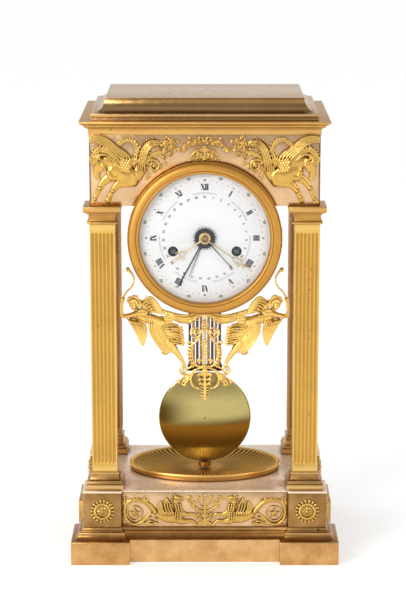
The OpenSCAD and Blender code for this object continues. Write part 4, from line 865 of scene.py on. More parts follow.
# %% Bob
BOB_HALF, RIM_BACK, BOB_STEPS = 7, 5.5, 24
LENS_ANGLE = math.radians(12.7)
lens = []
for i in range(BOB_STEPS + 1):
    radius = BOB_R * math.sin(LENS_ANGLE * i / BOB_STEPS) / math.sin(LENS_ANGLE)
    lens.append((radius, -BOB_HALF + RIM_BACK * (i / BOB_STEPS) ** 2))
rim = [(BOB_R - 0.5, -1.75), (BOB_R, -1.3), (BOB_R, 1.3), (BOB_R - 0.5, 1.75)]
bob_section = lens[:-1] + rim + [(r, -d) for r, d in lens[-2::-1]]
bob = turned("turned_bob", bob_section, (0, BOB_Y, BOB_Z), steps=128)
fit(bob, "pendulum", "satin_brass", satin_brass, "bob")
rivet_section = [(0, -7.25), (0.5, -7.2), (0.8, -7.05), (0.9, -6.7), (0, -6.7)]
rivet = turned("bob_rivet", rivet_section, (0, BOB_Y, BOB_Z), steps=20)
fit(rivet, "pendulum", "blued_steel", blued_steel)

# %% [markdown]
# ## Dish
# The oval dish has a rounded lip, a steep wall and fine flutes that run in towards its middle. It is
# turned as a round dish with eight points to each flute, a wave round the dish presses the flutes, and
# then the dish is squeezed to an oval. An attribute keeps the wave, so that the finish can paint shade
# into the grooves and paint highlights on the ridges and the lip.

# %% Fluted dish
FLUTES, FLUTE_POINTS = 80, 8
FLUTE_IN, FLUTE_END, FLUTE_FULL = 16, 76.6, 34
FLUTE_SINK, FLUTE_WAVE, LIP_HIGHLIGHT = 0.1, 0.45, -0.55
DISH_X, DISH_Y, _ = box_mm("dish")[1]
RIDGE_HIGHLIGHT, GROOVE_SHADE = (1.0, 0.64, 0.20), (0.13, 0.055, 0.012)
well = [(FLUTE_IN + 3.03 * i, 1.2 + 5.2 * (i / 20) ** 5) for i in range(21)]
dish_section = [(0, 1.2), (12, 1.2)] + well + arc(79.4, 6.3, 2.1, -1.7, 180, 0, 10)
dish_section += [(81.2, 5.5), (80.7, 4.9)] + arc(78.2, 4.0, 2.55, 4.0, 0, 90, 6) + [(0, 0.0)]
dish = turned("fluted_dish", dish_section, (0, 0, FLOOR_TOP), steps=FLUTES * FLUTE_POINTS, axis=(0, 0, 1))
mark = dish.data.attributes.new("groove", "FLOAT", "POINT")
for vertex in dish.data.vertices:
    radius = math.hypot(vertex.co.x, vertex.co.y) / MM
    up = vertex.co.z / MM - FLOOR_TOP
    if FLUTE_IN < radius < FLUTE_END + 0.1 and up > 1:
        swell = min(1, (radius - FLUTE_IN) / FLUTE_FULL)
        wave = -math.cos(FLUTES * math.atan2(vertex.co.y, vertex.co.x))
        vertex.co.z -= (FLUTE_SINK + FLUTE_WAVE * wave) * swell * MM
        mark.data[vertex.index].value = wave * swell
    # The lip gets a painted highlight.
    elif radius > 77.2 and up > 5.2:
        mark.data[vertex.index].value = LIP_HIGHLIGHT
edit(dish)
bpy.ops.transform.resize(value=(1, DISH_Y / DISH_X, 1), center_override=(0, 0, 0))
bpy.ops.object.mode_set(mode="OBJECT")
# Painted highlights on the ridges and painted shade in the grooves, read from the attribute.
tree = dish_gilt.node_tree
wave = tree.nodes.new("ShaderNodeAttribute")
wave.attribute_name = "groove"
colour = tree.nodes["Principled BSDF"].inputs["Base Color"]
paint = colour.links[0].from_socket
for shade, full in ((RIDGE_HIGHLIGHT, -0.8), (GROOVE_SHADE, 0.8)):
    paint = blend_colour(tree, paint, shade, map_range(tree, wave.outputs["Fac"], 0.0, full))
feed(tree, paint, colour)
fit(dish, "case", "satin_brass", dish_gilt, "dish", "dish_well")

# %% [markdown]
# ## Dial
# The dial is white enamel, printed in black, grey and green. On the real dial the print is fired into the
# glaze. Here each print is a sheet of small bars and dots, a few hundredths of a millimetre thick, sunk
# into the face, so that it stays sharp from any distance and needs no picture.

# %% Printing bars on the face
PRINT_UP, PRINT_DOWN = 0.04, 0.10


def on_dial(angle, radius, aside=0.0):
    """A point of the dial in millimetres; angles run clockwise from twelve."""
    a = math.radians(angle)
    x = radius * math.sin(a) + aside * math.cos(a)
    return x, DIAL_Z + radius * math.cos(a) - aside * math.sin(a)


def bar(angle, start, end, width):
    """A straight bar between two (aside, radius) points, as its four corners."""
    (u0, v0), (u1, v1) = start, end
    length = math.hypot(u1 - u0, v1 - v0)
    du, dv = -(v1 - v0) / length * width / 2, (u1 - u0) / length * width / 2
    corners = [(u0 + du, v0 + dv), (u0 - du, v0 - dv), (u1 - du, v1 - dv), (u1 + du, v1 + dv)]
    return [on_dial(angle, v, u) for u, v in corners]


def printed(name, outlines, material):
    vertices, faces = [], []
    for outline in outlines:
        faces.append(range(len(vertices), len(vertices) + len(outline)))
        vertices += [(x * MM, (DIAL_FACE + PRINT_DOWN) * MM, z * MM) for x, z in outline]
    piece = mesh_piece(name, vertices, faces)
    edit(piece)
    thickness = (0, -(PRINT_UP + PRINT_DOWN) * MM, 0)
    bpy.ops.mesh.extrude_region_move(TRANSFORM_OT_translate={"value": thickness})
    bpy.ops.mesh.select_all(action="SELECT")
    bpy.ops.mesh.normals_make_consistent(inside=False)
    bpy.ops.object.mode_set(mode="OBJECT")
    return fit(piece, "case", "enamel", material)


def print_ink(name, colour, pale):
    ink, tree, shader = new_material(name)
    cloud = use_group(tree, age_marks, Patch_Scale=300.0)["Cloud"]
    faded = blend_colour(tree, colour, pale, calculate(tree, "MULTIPLY", cloud, 0.5))
    feed(tree, faded, shader.inputs["Base Color"])
    feed(tree, 0.25, shader.inputs["Roughness"])
    return ink


black_ink = print_ink("black_ink", (0.012, 0.012, 0.016), (0.05, 0.05, 0.055))
grey_ink = print_ink("grey_ink", (0.085, 0.088, 0.095), (0.16, 0.16, 0.165))
pale_ink = print_ink("pale_ink", (0.34, 0.37, 0.32), (0.50, 0.53, 0.47))
green_ink = print_ink("green_ink", (0.06, 0.20, 0.06), (0.16, 0.32, 0.13))

# %% Face and hour numerals
NUMERAL_R, NUMERAL_H = 52.6, 6.3
THICK, THIN, SERIF = 1.65, 0.45, 0.4
ADVANCE = {"I": 1.95, "V": 3.9, "X": 3.9}
fit(softened("dial", "enamel_face", 0.25), "case", "enamel", enamel, "dial")


def letter(angle, kind, u):
    """One Roman letter, centred at u to the right of the numeral's middle line."""
    low, high = NUMERAL_R - NUMERAL_H / 2, NUMERAL_R + NUMERAL_H / 2
    if kind == "I":
        strokes = [((u, low), (u, high), THICK)]
        feet = [(u, low, 1.7), (u, high, 1.7)]
    elif kind == "V":
        strokes = [((u - 1.45, high), (u + 0.15, low), THICK), ((u + 1.6, high), (u + 0.3, low), THIN)]
        feet = [(u - 1.45, high, 1.8), (u + 1.6, high, 1.3)]
    else:
        strokes = [((u - 1.5, high), (u + 1.5, low), THICK), ((u + 1.5, high), (u - 1.5, low), THIN)]
        feet = [(u - 1.5, high, 1.6), (u + 1.5, high, 1.3), (u - 1.5, low, 1.3), (u + 1.5, low, 1.6)]
    strokes += [((x - w / 2, v), (x + w / 2, v), SERIF) for x, v, w in feet]
    return [bar(angle, *stroke) for stroke in strokes]


numerals = ["I", "II", "III", "IIII", "V", "VI", "VII", "VIII", "IX", "X", "XI", "XII"]
hours = []
for hour, numeral in enumerate(numerals, start=1):
    u = -sum(ADVANCE[kind] for kind in numeral) / 2
    for kind in numeral:
        hours += letter(30 * hour, kind, u + ADVANCE[kind] / 2)
        u += ADVANCE[kind]
printed("hour_numerals", hours, black_ink)

# %% Minutes, weekday arcs and sprigs
DOT_R, BERRY_R = 63.6, 64.1
minutes = [bar(6 * k, (0, 57.9), (0, 59.4), 0.5) for k in range(60) if k % 5]
minutes += [bar(30 * k, (0, 57.8), (0, 59.6), 1.1) for k in range(12) if k % 3]
printed("minute_marks", minutes, grey_ink)
dots = []
for day in range(7):
    dots += [bar(360 / 7 * day + step, (0, 45.4), (0, 47.3), 0.5) for step in np.arange(-15, 15.1, 1.5)]
for k in range(12):
    dots += [bar(30 * k + step, (-0.35, DOT_R), (0.35, DOT_R), 0.8) for step in (-4, -2.4, -0.8, 0.8, 2.4, 4)]
printed("arc_dots", dots, pale_ink)
sprigs, berries = [], []
for k in range(12):
    angle = 30 * k + 15
    for lean in (-1, 1):
        leaf_points = ((0, 61.4), (lean * 1.6, 62.1), (lean * 2.4, 64.4), (lean * 0.8, 63.6))
        sprigs.append([on_dial(angle, v, u) for u, v in leaf_points])
    sprigs.append(bar(angle, (0, 60.6), (0, 63.4), 0.4))
    berries.append(bar(angle, (-0.55, BERRY_R), (0.55, BERRY_R), 1.1))
printed("sprigs", sprigs, green_ink)
printed("berries", berries, black_ink)


# %% Figures
def figures(name, texts, size, material):
    """Each text is (body, angle, radius). The text becomes a mesh before it gets its place."""
    pieces = []
    for body, angle, radius in texts:
        deselect()
        bpy.ops.object.text_add()
        word = bpy.context.object
        word.data.body, word.data.size = body, size * MM
        word.data.align_x, word.data.align_y = "CENTER", "CENTER"
        word.data.resolution_u = 2
        word.data.offset = 0.16 * MM
        word.data.extrude = (PRINT_UP + PRINT_DOWN) / 2 * MM
        bpy.ops.object.convert(target="MESH")
        x, z = on_dial(angle, radius)
        word.rotation_mode = "XYZ"
        word.rotation_euler = (math.radians(90), math.radians(angle), 0)
        word.location = (x * MM, (DIAL_FACE + (PRINT_DOWN - PRINT_UP) / 2) * MM, z * MM)
        bpy.ops.object.transform_apply(location=True, rotation=True, scale=True)
        pieces.append(word)
    return fit(join(name, pieces), "case", "enamel", material)


figures("date_figures", [(str(day), 360 / 31 * day, 42.3) for day in range(1, 32)], 3.3, grey_ink)
figures("quarter_figures", [(str(15 * k), 90 * k, 59.6) for k in range(1, 5)], 2.8, grey_ink)

# %% [markdown]
# ## Relief mounts
# The ornaments are castings, chased by hand and pinned to the plates. The founder's model was built up in
# wax, strand on strand, and we do the same: a strand is a round-ended bar that follows a smooth path and
# swells and thins on its way. Its points are (x, z, radius) in millimetres, from the clock's middle plane
# and from the foot of the plate behind, or from the ground for the apron. All strands of a mount are
# melted together by a voxel remesh.

# %% Strands
SIDES, BACK_SINK, THINNEST = 12, 0.2, 0.15
CAP_ANGLES = np.radians([80, 55, 30])


def smooth_path(points, step=0.7):
    """A curve through the points, with a new point about every step millimetres."""
    p = np.array([points[0], *points, points[-1]], float)
    stretches = []
    for a, b, c, d in zip(p, p[1:], p[2:], p[3:]):
        t = np.linspace(0, 1, max(2, int(np.hypot(*(c - b)[:2]) / step)), endpoint=False)[:, None]
        bend, twist = 2 * a - 5 * b + 4 * c - d, 3 * b - a - 3 * c + d
        stretches.append(b + 0.5 * t * (c - a + t * (bend + t * twist)))
    return np.concatenate([*stretches, p[-1:]])


def strand_mesh(points, lift, depth, face_y):
    """Rings round the path with round ends; the back of every ring lies in the plate."""
    path = smooth_path(points)
    along = np.gradient(path[:, :2], axis=0)
    along /= np.linalg.norm(along, axis=1)[:, None] + 1e-9
    radius = np.maximum(path[:, 2], THINNEST)
    caps = CAP_ANGLES
    centre = np.concatenate([path[0, :2] - np.outer(np.sin(caps) * radius[0], along[0]), path[:, :2],
                             path[-1, :2] + np.outer(np.sin(caps[::-1]) * radius[-1], along[-1])])
    along = np.concatenate([along[:1].repeat(3, 0), along, along[-1:].repeat(3, 0)])
    radius = np.concatenate([np.cos(caps) * radius[0], radius, np.cos(caps[::-1]) * radius[-1]])
    turn = np.linspace(0, 2 * np.pi, SIDES, endpoint=False)
    aside = np.stack([-along[:, 1], along[:, 0]], 1)
    flat = centre[:, None] + (aside * radius[:, None])[:, None] * np.cos(turn)[None, :, None]
    rise = np.sin(turn)[None]
    back = np.where(rise > -0.01, face_y - lift, face_y + BACK_SINK)
    y = np.where(rise > 0.01, face_y - lift - depth * radius[:, None] * rise, back)
    vertices = np.stack([flat[..., 0], y, flat[..., 1]], -1).reshape(-1, 3)
    faces = []
    for start in range(0, (len(centre) - 1) * SIDES, SIDES):
        for k in range(SIDES):
            after = (k + 1) % SIDES
            faces.append((start + k, start + after, start + SIDES + after, start + SIDES + k))
    faces += [tuple(range(SIDES))[::-1], tuple(range(len(vertices) - SIDES, len(vertices)))]
    return vertices, faces


def cast(name, face_y, strands, voxel=0.35):
    """A strand is (points, lift, depth): its path, how far it stands off the plate, and how round it is."""
    vertices, faces = [], []
    for points, lift, depth in strands:
        more, sides = strand_mesh(points, lift, depth, face_y)
        faces += [tuple(k + len(vertices) for k in side) for side in sides]
        vertices += (more * MM).tolist()
    piece = mesh_piece(name, vertices, faces)
    apply_modifier(piece, "REMESH", mode="VOXEL", voxel_size=voxel * MM, adaptivity=0.0)
    apply_modifier(piece, "SMOOTH", factor=0.5, iterations=2)
    activate(piece)
    bpy.ops.object.shade_smooth()
    return piece


# %% Shapes made of strands
def polar(x, z, angle, distance):
    return x + distance * math.cos(math.radians(angle)), z + distance * math.sin(math.radians(angle))


def mass(*points, lift=0.0, depth=0.5):
    return [(points, lift, depth)]


def between(edge_a, edge_b, count, lift=1.5, depth=0.7):
    """Strands side by side, from one edge to the other: feathers, folds and locks of hair."""
    a, b = np.array(edge_a, float), np.array(edge_b, float)
    return [(a + (b - a) * i / (count - 1), lift, depth) for i in range(count)]


def leaf(x, z, angle, length, width, bend=0.0, lift=0.6, depth=0.7):
    tip = polar(x, z, angle + bend, length)
    belly = polar(x, z, angle + bend * 0.3, length * 0.5)
    return [(((x, z, width * 0.3), (*belly, width * 0.5), (*tip, width * 0.12)), lift, depth)]


def fan(x, z, angles, length, width, bend=0.0, lift=0.6):
    return [s for angle in angles for s in leaf(x, z, angle, length, width, bend, lift)]


def curl(x, z, radius, thick, start=0, turns=1.4, lift=0.6):
    """A spiral that winds in to its centre; negative turns wind the other way."""
    steps = max(6, int(abs(turns) * 10))
    points = [(*polar(x, z, start + 360 * turns * i / steps, radius * (1 - 0.85 * i / steps)),
               thick * (1 - 0.35 * i / steps)) for i in range(steps + 1)]
    return [(points, lift, 0.8)]


def ringlets(path, every, radius, thick, twist, turns, lift):
    """Curls along a path, each turned further than the one before it."""
    strands = []
    for i, (x, z) in enumerate(smooth_path(path, every)):
        strands += curl(x, z, radius, thick, twist * i, turns, lift)
    return strands


def flower(x, z, radius, petals=6, lift=0.8, start=0):
    """Two rings of petals round a bead; the inner ring stands higher and is turned by half a petal."""
    turns = [start + 360 * k / petals for k in range(petals)]
    half_turns = [turn + 180 / petals for turn in turns]
    outer = fan(x, z, turns, radius, radius * 2.0 / petals, lift=lift)
    inner = fan(x, z, half_turns, radius * 0.56, radius * 1.5 / petals, lift=lift + 0.8)
    return outer + inner + bead_at(x, z, radius * 0.2, lift + 1.4)


def bead_at(x, z, radius, lift=0.6, depth=0.9):
    return [(((x - 0.05, z, radius), (x + 0.05, z, radius)), lift, depth)]


def sprays(path, length, width, every, spread=45, lift=0.6, sides=(1, -1), taper=0.4):
    """Leaves along a stem, on one or both sides."""
    stem = smooth_path(path, every)
    leaves = []
    for i in range(1, len(stem) - 1):
        heading = math.degrees(math.atan2(stem[i + 1][1] - stem[i - 1][1], stem[i + 1][0] - stem[i - 1][0]))
        size = 1 - taper * i / len(stem)
        for side in sides:
            leaves += leaf(stem[i][0], stem[i][1], heading + side * spread, length * size, width * size,
                           -side * 15, lift)
    return leaves


def raised(strands, base_z):
    return [([(x, z + base_z, r) for x, z, r in points], lift, depth) for points, lift, depth in strands]


def mirrored(strands):
    return [([(-x, z, r) for x, z, r in points], lift, depth) for points, lift, depth in strands]


def thickened(strands, factor, limit):
    """Thin strands get thicker by the factor, as far as the limit."""
    return [([(x, z, max(r, min(factor * r, limit))) for x, z, r in points], lift, depth)
            for points, lift, depth in strands]


def mount_pair(name, face_y, strands, material, voxel=0.35):
    """The casting on the left and its mirror image on the right."""
    for side, model in (("left", strands), ("right", mirrored(strands))):
        piece = cast(f"{name}_{side}", face_y, model, voxel)
        fit(piece, "case", "gilt_bronze", material, f"{name}_mount_{side}")


# %% Sea-horse of the frieze
def sea_horse():
    body = mass((-90.5, 36, 9.5), (-80.5, 32, 11.8), (-73.5, 28.5, 8.5), depth=0.42)
    body += mass((-84, 40, 8.5), (-92.5, 44, 7.5), (-99.5, 45.5, 6.3), (-104.5, 44.5, 5.0), depth=0.45)
    body += mass((-88, 31, 3), (-93.5, 29.5, 3.2), (-97, 34, 2.6), lift=2.6)
    body += mass((-76, 36, 4), (-71.5, 31, 4.4), (-72, 24.5, 3.6), lift=2.2)
    head = mass((-104.6, 44.8, 5.4), (-107.6, 40.4, 4.7), (-109.1, 35.6, 3.5), (-109.2, 31.6, 2.9),
                (-108.4, 29.2, 2.4), lift=0.8, depth=0.55)
    head += mass((-102.8, 42, 2.6), (-104.4, 38.8, 2.0), (-106.2, 36, 1.3), lift=2.6, depth=0.6)
    head += mass((-110.6, 43.2, 0.7), (-108.6, 43.8, 0.8), (-106.6, 42.6, 0.7), lift=3.2)
    head += bead_at(-108.5, 42, 0.9, 3.0)
    head += mass((-111.6, 31.8, 0.8), (-111, 29.4, 0.9), (-109, 27.6, 0.9), (-106.6, 28.2, 0.7), lift=1.6)
    head += leaf(-105.4, 47.6, 118, 5.6, 2.4, -12, lift=4.2)
    legs = mass((-93.5, 31, 5.5), (-101, 26, 4.2), (-105.5, 20.5, 3.1), (-108.5, 14, 2.3),
                (-110.8, 9, 2.0), (-112.6, 5.2, 2.6))
    legs += mass((-72, 24.5, 5), (-81.7, 23.4, 4.2), (-88, 22, 3.8), (-92.5, 17, 2.9), (-95.5, 11.5, 2.2),
                 (-98.2, 6.2, 2.7), lift=0.8)
    legs += bead_at(-106.6, 18.4, 2.3, 0.9) + bead_at(-93.4, 15.6, 2.2, 1.6) + bead_at(-111.4, 7.4, 1.6, 1)
    legs += bead_at(-96.8, 9, 1.6, 1.5)
    legs += mass((-114.2, 3.4, 1.8), (-111.5, 3.0, 1.8)) + mass((-100, 4.2, 1.8), (-97.2, 3.8, 1.8))
    bed = mass((-79, 43, 5), (-81.5, 50, 5), (-88.5, 56.5, 4.6), (-96.5, 62.5, 4), (-104, 67, 3),
               (-114, 68.4, 1.9), lift=0.7)
    wing = between([(-74.6, 40, 1.1), (-74.8, 46, 1.1), (-76.8, 51.2, 1.1), (-81, 55.6, 1.1),
                    (-86.6, 59.4, 1.1), (-91.4, 63.2, 1.0), (-95.6, 67, 1.0), (-100.7, 70.3, 0.9),
                    (-107.4, 71.8, 0.8), (-115.6, 71, 0.6)],
                   [(-84.5, 40, 1.1), (-85.6, 44.5, 1.1), (-87.6, 48.4, 1.0), (-90.6, 51.8, 1.0),
                    (-94.4, 55.2, 0.9), (-97.8, 59, 0.9), (-101.2, 62, 0.8), (-104.8, 64, 0.8),
                    (-109, 65.4, 0.7), (-115.8, 65.6, 0.5)],
                   5, lift=3.4, depth=1.1)
    barbs = [s for k in range(9)
             for s in leaf(-83 - 2.6 * k, 45.5 + 2.35 * k, 200 + 3 * k, 4.6, 1.7, 25, lift=3.2)]
    scales = [s for row in range(5) for k in range(4)
              for s in leaf(-76.2 - 2.7 * k - 1.3 * (row % 2), 37 + 2.7 * row + 0.5 * k, -75, 3.2, 2.6,
                            lift=5.6 - 0.25 * row)]
    crown = [(-112.6, 44), (-113, 48.4), (-111.6, 53), (-108, 56.8), (-103.4, 58), (-98.8, 56),
             (-95, 52.4), (-92.4, 48), (-91, 43)]
    mane = ringlets(crown, 4.6, 2.8, 0.9, 67, 1.3, 3.0)
    mane += sprays(crown, 5.0, 1.8, 3.2, 66, 2.2, sides=(1,), taper=0.0)
    locks = [(-110.4, 46), (-109.2, 50.4), (-105.4, 53.6), (-100.6, 53), (-96.6, 49.6), (-94, 45)]
    for i, (x, z) in enumerate(smooth_path(locks, 2.6)):
        mane += leaf(x, z, -60 - 25 * i, 4.4, 1.5, 45, 4.4)
    tail = mass((-70, 30, 6.8), (-66, 36, 6), (-64, 43.5, 5.2), (-62.4, 51.5, 4.7), (-60.2, 58.4, 4.3),
                (-56.4, 63, 3.9), (-51.6, 65.2, 3.4), (-46.8, 64.6, 2.8), (-43.8, 61.2, 1.8), depth=0.5)
    tail += between([(-68, 36, 0.7), (-66.6, 45, 0.8), (-64.6, 54, 0.8), (-60.6, 62, 0.8),
                     (-54.6, 67, 0.7), (-47.6, 67, 0.6)],
                    [(-61, 36, 0.7), (-60.4, 45, 0.8), (-58.6, 53, 0.8), (-55.8, 58.6, 0.8),
                     (-51.6, 61.8, 0.7), (-47.2, 62, 0.6)],
                    4, lift=2.9, depth=1.0)
    tail += sprays([(-70, 38), (-68.6, 46), (-67, 54), (-63, 62.6), (-56.6, 67.8), (-50, 68.6)], 3.0, 1.6,
                   2.5, 55, 1.4, (1,), 0.2)
    tail += [s for k in range(7)
             for s in leaf(-60.6 + 0.7 * k, 37 + 3.6 * k, -25 + 4 * k, 3.6, 1.7, 20, lift=1.6)]
    frond = [(-72.9, 43, 1.7), (-69.5, 49.8, 1.7), (-67.9, 58, 1.5), (-70.4, 63.6, 1.3),
             (-74.6, 67.2, 1.2), (-79.6, 67.9, 1.1), (-83.8, 65.6, 1.0), (-87.2, 63, 0.9), (-91, 62.6, 0.8)]
    leaves = mass(*frond, lift=1.2) + sprays(frond, 4.6, 1.7, 3.2, 50, 1.4, taper=0.15)
    leaves += fan(-72.4, 42, (38, 54, 70, 86, 102), 10, 2.1, 12, lift=2.8)
    scroll = mass((-62, 40, 1.4), (-58.5, 45.5, 1.5), (-53.5, 47.8, 1.5), (-48.6, 46.4, 1.5), lift=1.0,
                  depth=0.8)
    scroll += curl(-51.4, 41.4, 5.6, 1.4, 60, -1.6, 1.0) + bead_at(-51.4, 41.4, 1.5, 1.6)
    scroll += fan(-46.4, 40.6, (-70, -35, 0, 30), 4.2, 1.7, 15)
    scroll += fan(-51, 36.4, (-130, -95, -60), 3.2, 1.5, 15) + leaf(-56, 46, 140, 4.4, 1.8, 25)
    scroll += mass((-61.5, 41, 1.2), (-59.4, 37, 1.1), (-57.8, 32.8, 1.0), (-58.6, 28.6, 0.8), lift=0.8)
    scroll += curl(-60, 34.4, 2.0, 0.7, 0, 1.2) + curl(-56.2, 31, 1.9, 0.7, 90, -1.2)
    scroll += fan(-58.4, 29.4, (-130, -90, -50), 3.0, 1.4)
    stems = mass((-60, 48, 1.2), (-54, 51.4, 1.3), (-47, 54, 1.2), (-41, 55.6, 1.1), lift=0.9)
    stems += sprays([(-60, 48), (-54, 51.4), (-47, 54), (-41, 55.6)], 3.8, 1.7, 2.3, 50, 1.2, taper=0.1)
    blooms = flower(-39.4, 64.2, 5.8, 7, 1.4) + flower(-32.8, 66.4, 4.4, 6, 1.2, 20)
    blooms += flower(-40.2, 56.6, 4.4, 6, 1.4, 10)
    blooms += flower(-34.8, 53.4, 3.8, 6, 1.0) + flower(-41.2, 49.6, 3.4, 5, 1.0)
    blooms += flower(-46.6, 58.4, 3.4, 6, 1.8) + flower(-31.4, 60.6, 3.4, 5, 1.1)
    blooms += fan(-39.6, 45, (-140, -100, -60), 3.8, 1.6) + fan(-32, 57.6, (-40, -10, 20), 4.6, 1.6)
    blooms += fan(-38, 69, (15, 55, 95, 135), 3.6, 1.5)
    blooms += fan(-44, 52.4, (200, 240, 280), 3.6, 1.5) + fan(-28.8, 66, (-25, 10, 45), 3.6, 1.5)
    blooms += fan(-35.6, 60.2, (0, 60, 120, 180, 240, 300), 3.4, 1.4, lift=0.7)
    return body + head + legs + bed + wing + barbs + scales + mane + tail + leaves + scroll + stems + blooms


mount_pair("sea_horse", FRIEZE_FACE, raised(sea_horse(), FRIEZE_FOOT), relief_gilt)


# %% Garland over the dial
def garland():
    swag = [(-28, 58.6, 1.0), (-23.5, 57.2, 1.1), (-19, 60.4, 1.2), (-14.5, 64.4, 1.3), (-9, 65.8, 1.2),
            (-2, 66.2, 1.0)]
    half = mass(*swag, lift=0.6) + sprays(swag, 3.4, 1.5, 1.9, 58, 0.9, taper=0.1)
    half += flower(-14.8, 65.2, 4.4, 7, 1.3) + flower(-10, 62.6, 3.4, 6, 1.3, 15)
    half += flower(-8.2, 67, 3.0, 6, 1.0) + flower(-18.6, 61.6, 3.2, 6, 1.1)
    half += flower(-4, 63.8, 2.6, 5, 1.1) + flower(-24.6, 57.8, 2.6, 5, 1.0)
    half += fan(-15, 68.6, (60, 100, 140), 2.6, 1.3) + fan(-21, 57.6, (-120, -80, -40), 2.8, 1.3)
    half += mass((-0.6, 66.6, 0.8), (-2.8, 70, 0.8), (-5, 70.8, 0.8), (-6.2, 68.8, 0.8), (-4.6, 66.8, 0.7),
                 (-1.5, 66.2, 0.7), lift=1.4, depth=1.0)
    half += mass((-13.8, 46.2, 0.8), (-14.2, 49.6, 0.85), (-12, 53.6, 0.85), (-8.6, 56.8, 0.85),
                 (-3.8, 58.4, 0.8), (0, 61.6, 0.7), lift=1.0, depth=1.0)
    half += curl(-10, 49.8, 3.5, 0.8, 150, -1.4, 1.0) + curl(-5.2, 52, 2.7, 0.75, 30, 1.4, 1.0)
    half += curl(-7.6, 55.6, 2.0, 0.65, 100, 1.2, 1.0)
    half += curl(-2.9, 56.8, 1.9, 0.65, 200, -1.2, 1.0)
    half += mass((0, 46.6, 0.8), (-6.4, 46.8, 0.8), (-12.6, 45.6, 0.7), lift=0.9, depth=1.0)
    half += fan(-6, 47.4, (60, 90, 120), 2.6, 1.1) + fan(-1, 47.6, (105, 125, 145), 5.2, 1.4, 10, 0.9)
    half += leaf(-13.6, 47, 190, 3, 1.3)
    stem = leaf(0, 47, 90, 14, 2.6, lift=1.2) + bead_at(0, 47.6, 1.5, 1.6) + bead_at(0, 66.2, 1.4, 1.8)
    stem += fan(0, 56, (65, 115), 4.4, 1.4)
    return half + mirrored(half) + stem


garland_model = cast("garland", FRIEZE_FACE, raised(garland(), FRIEZE_FOOT), 0.3)
fit(garland_model, "case", "gilt_bronze", relief_gilt, "garland_mount")


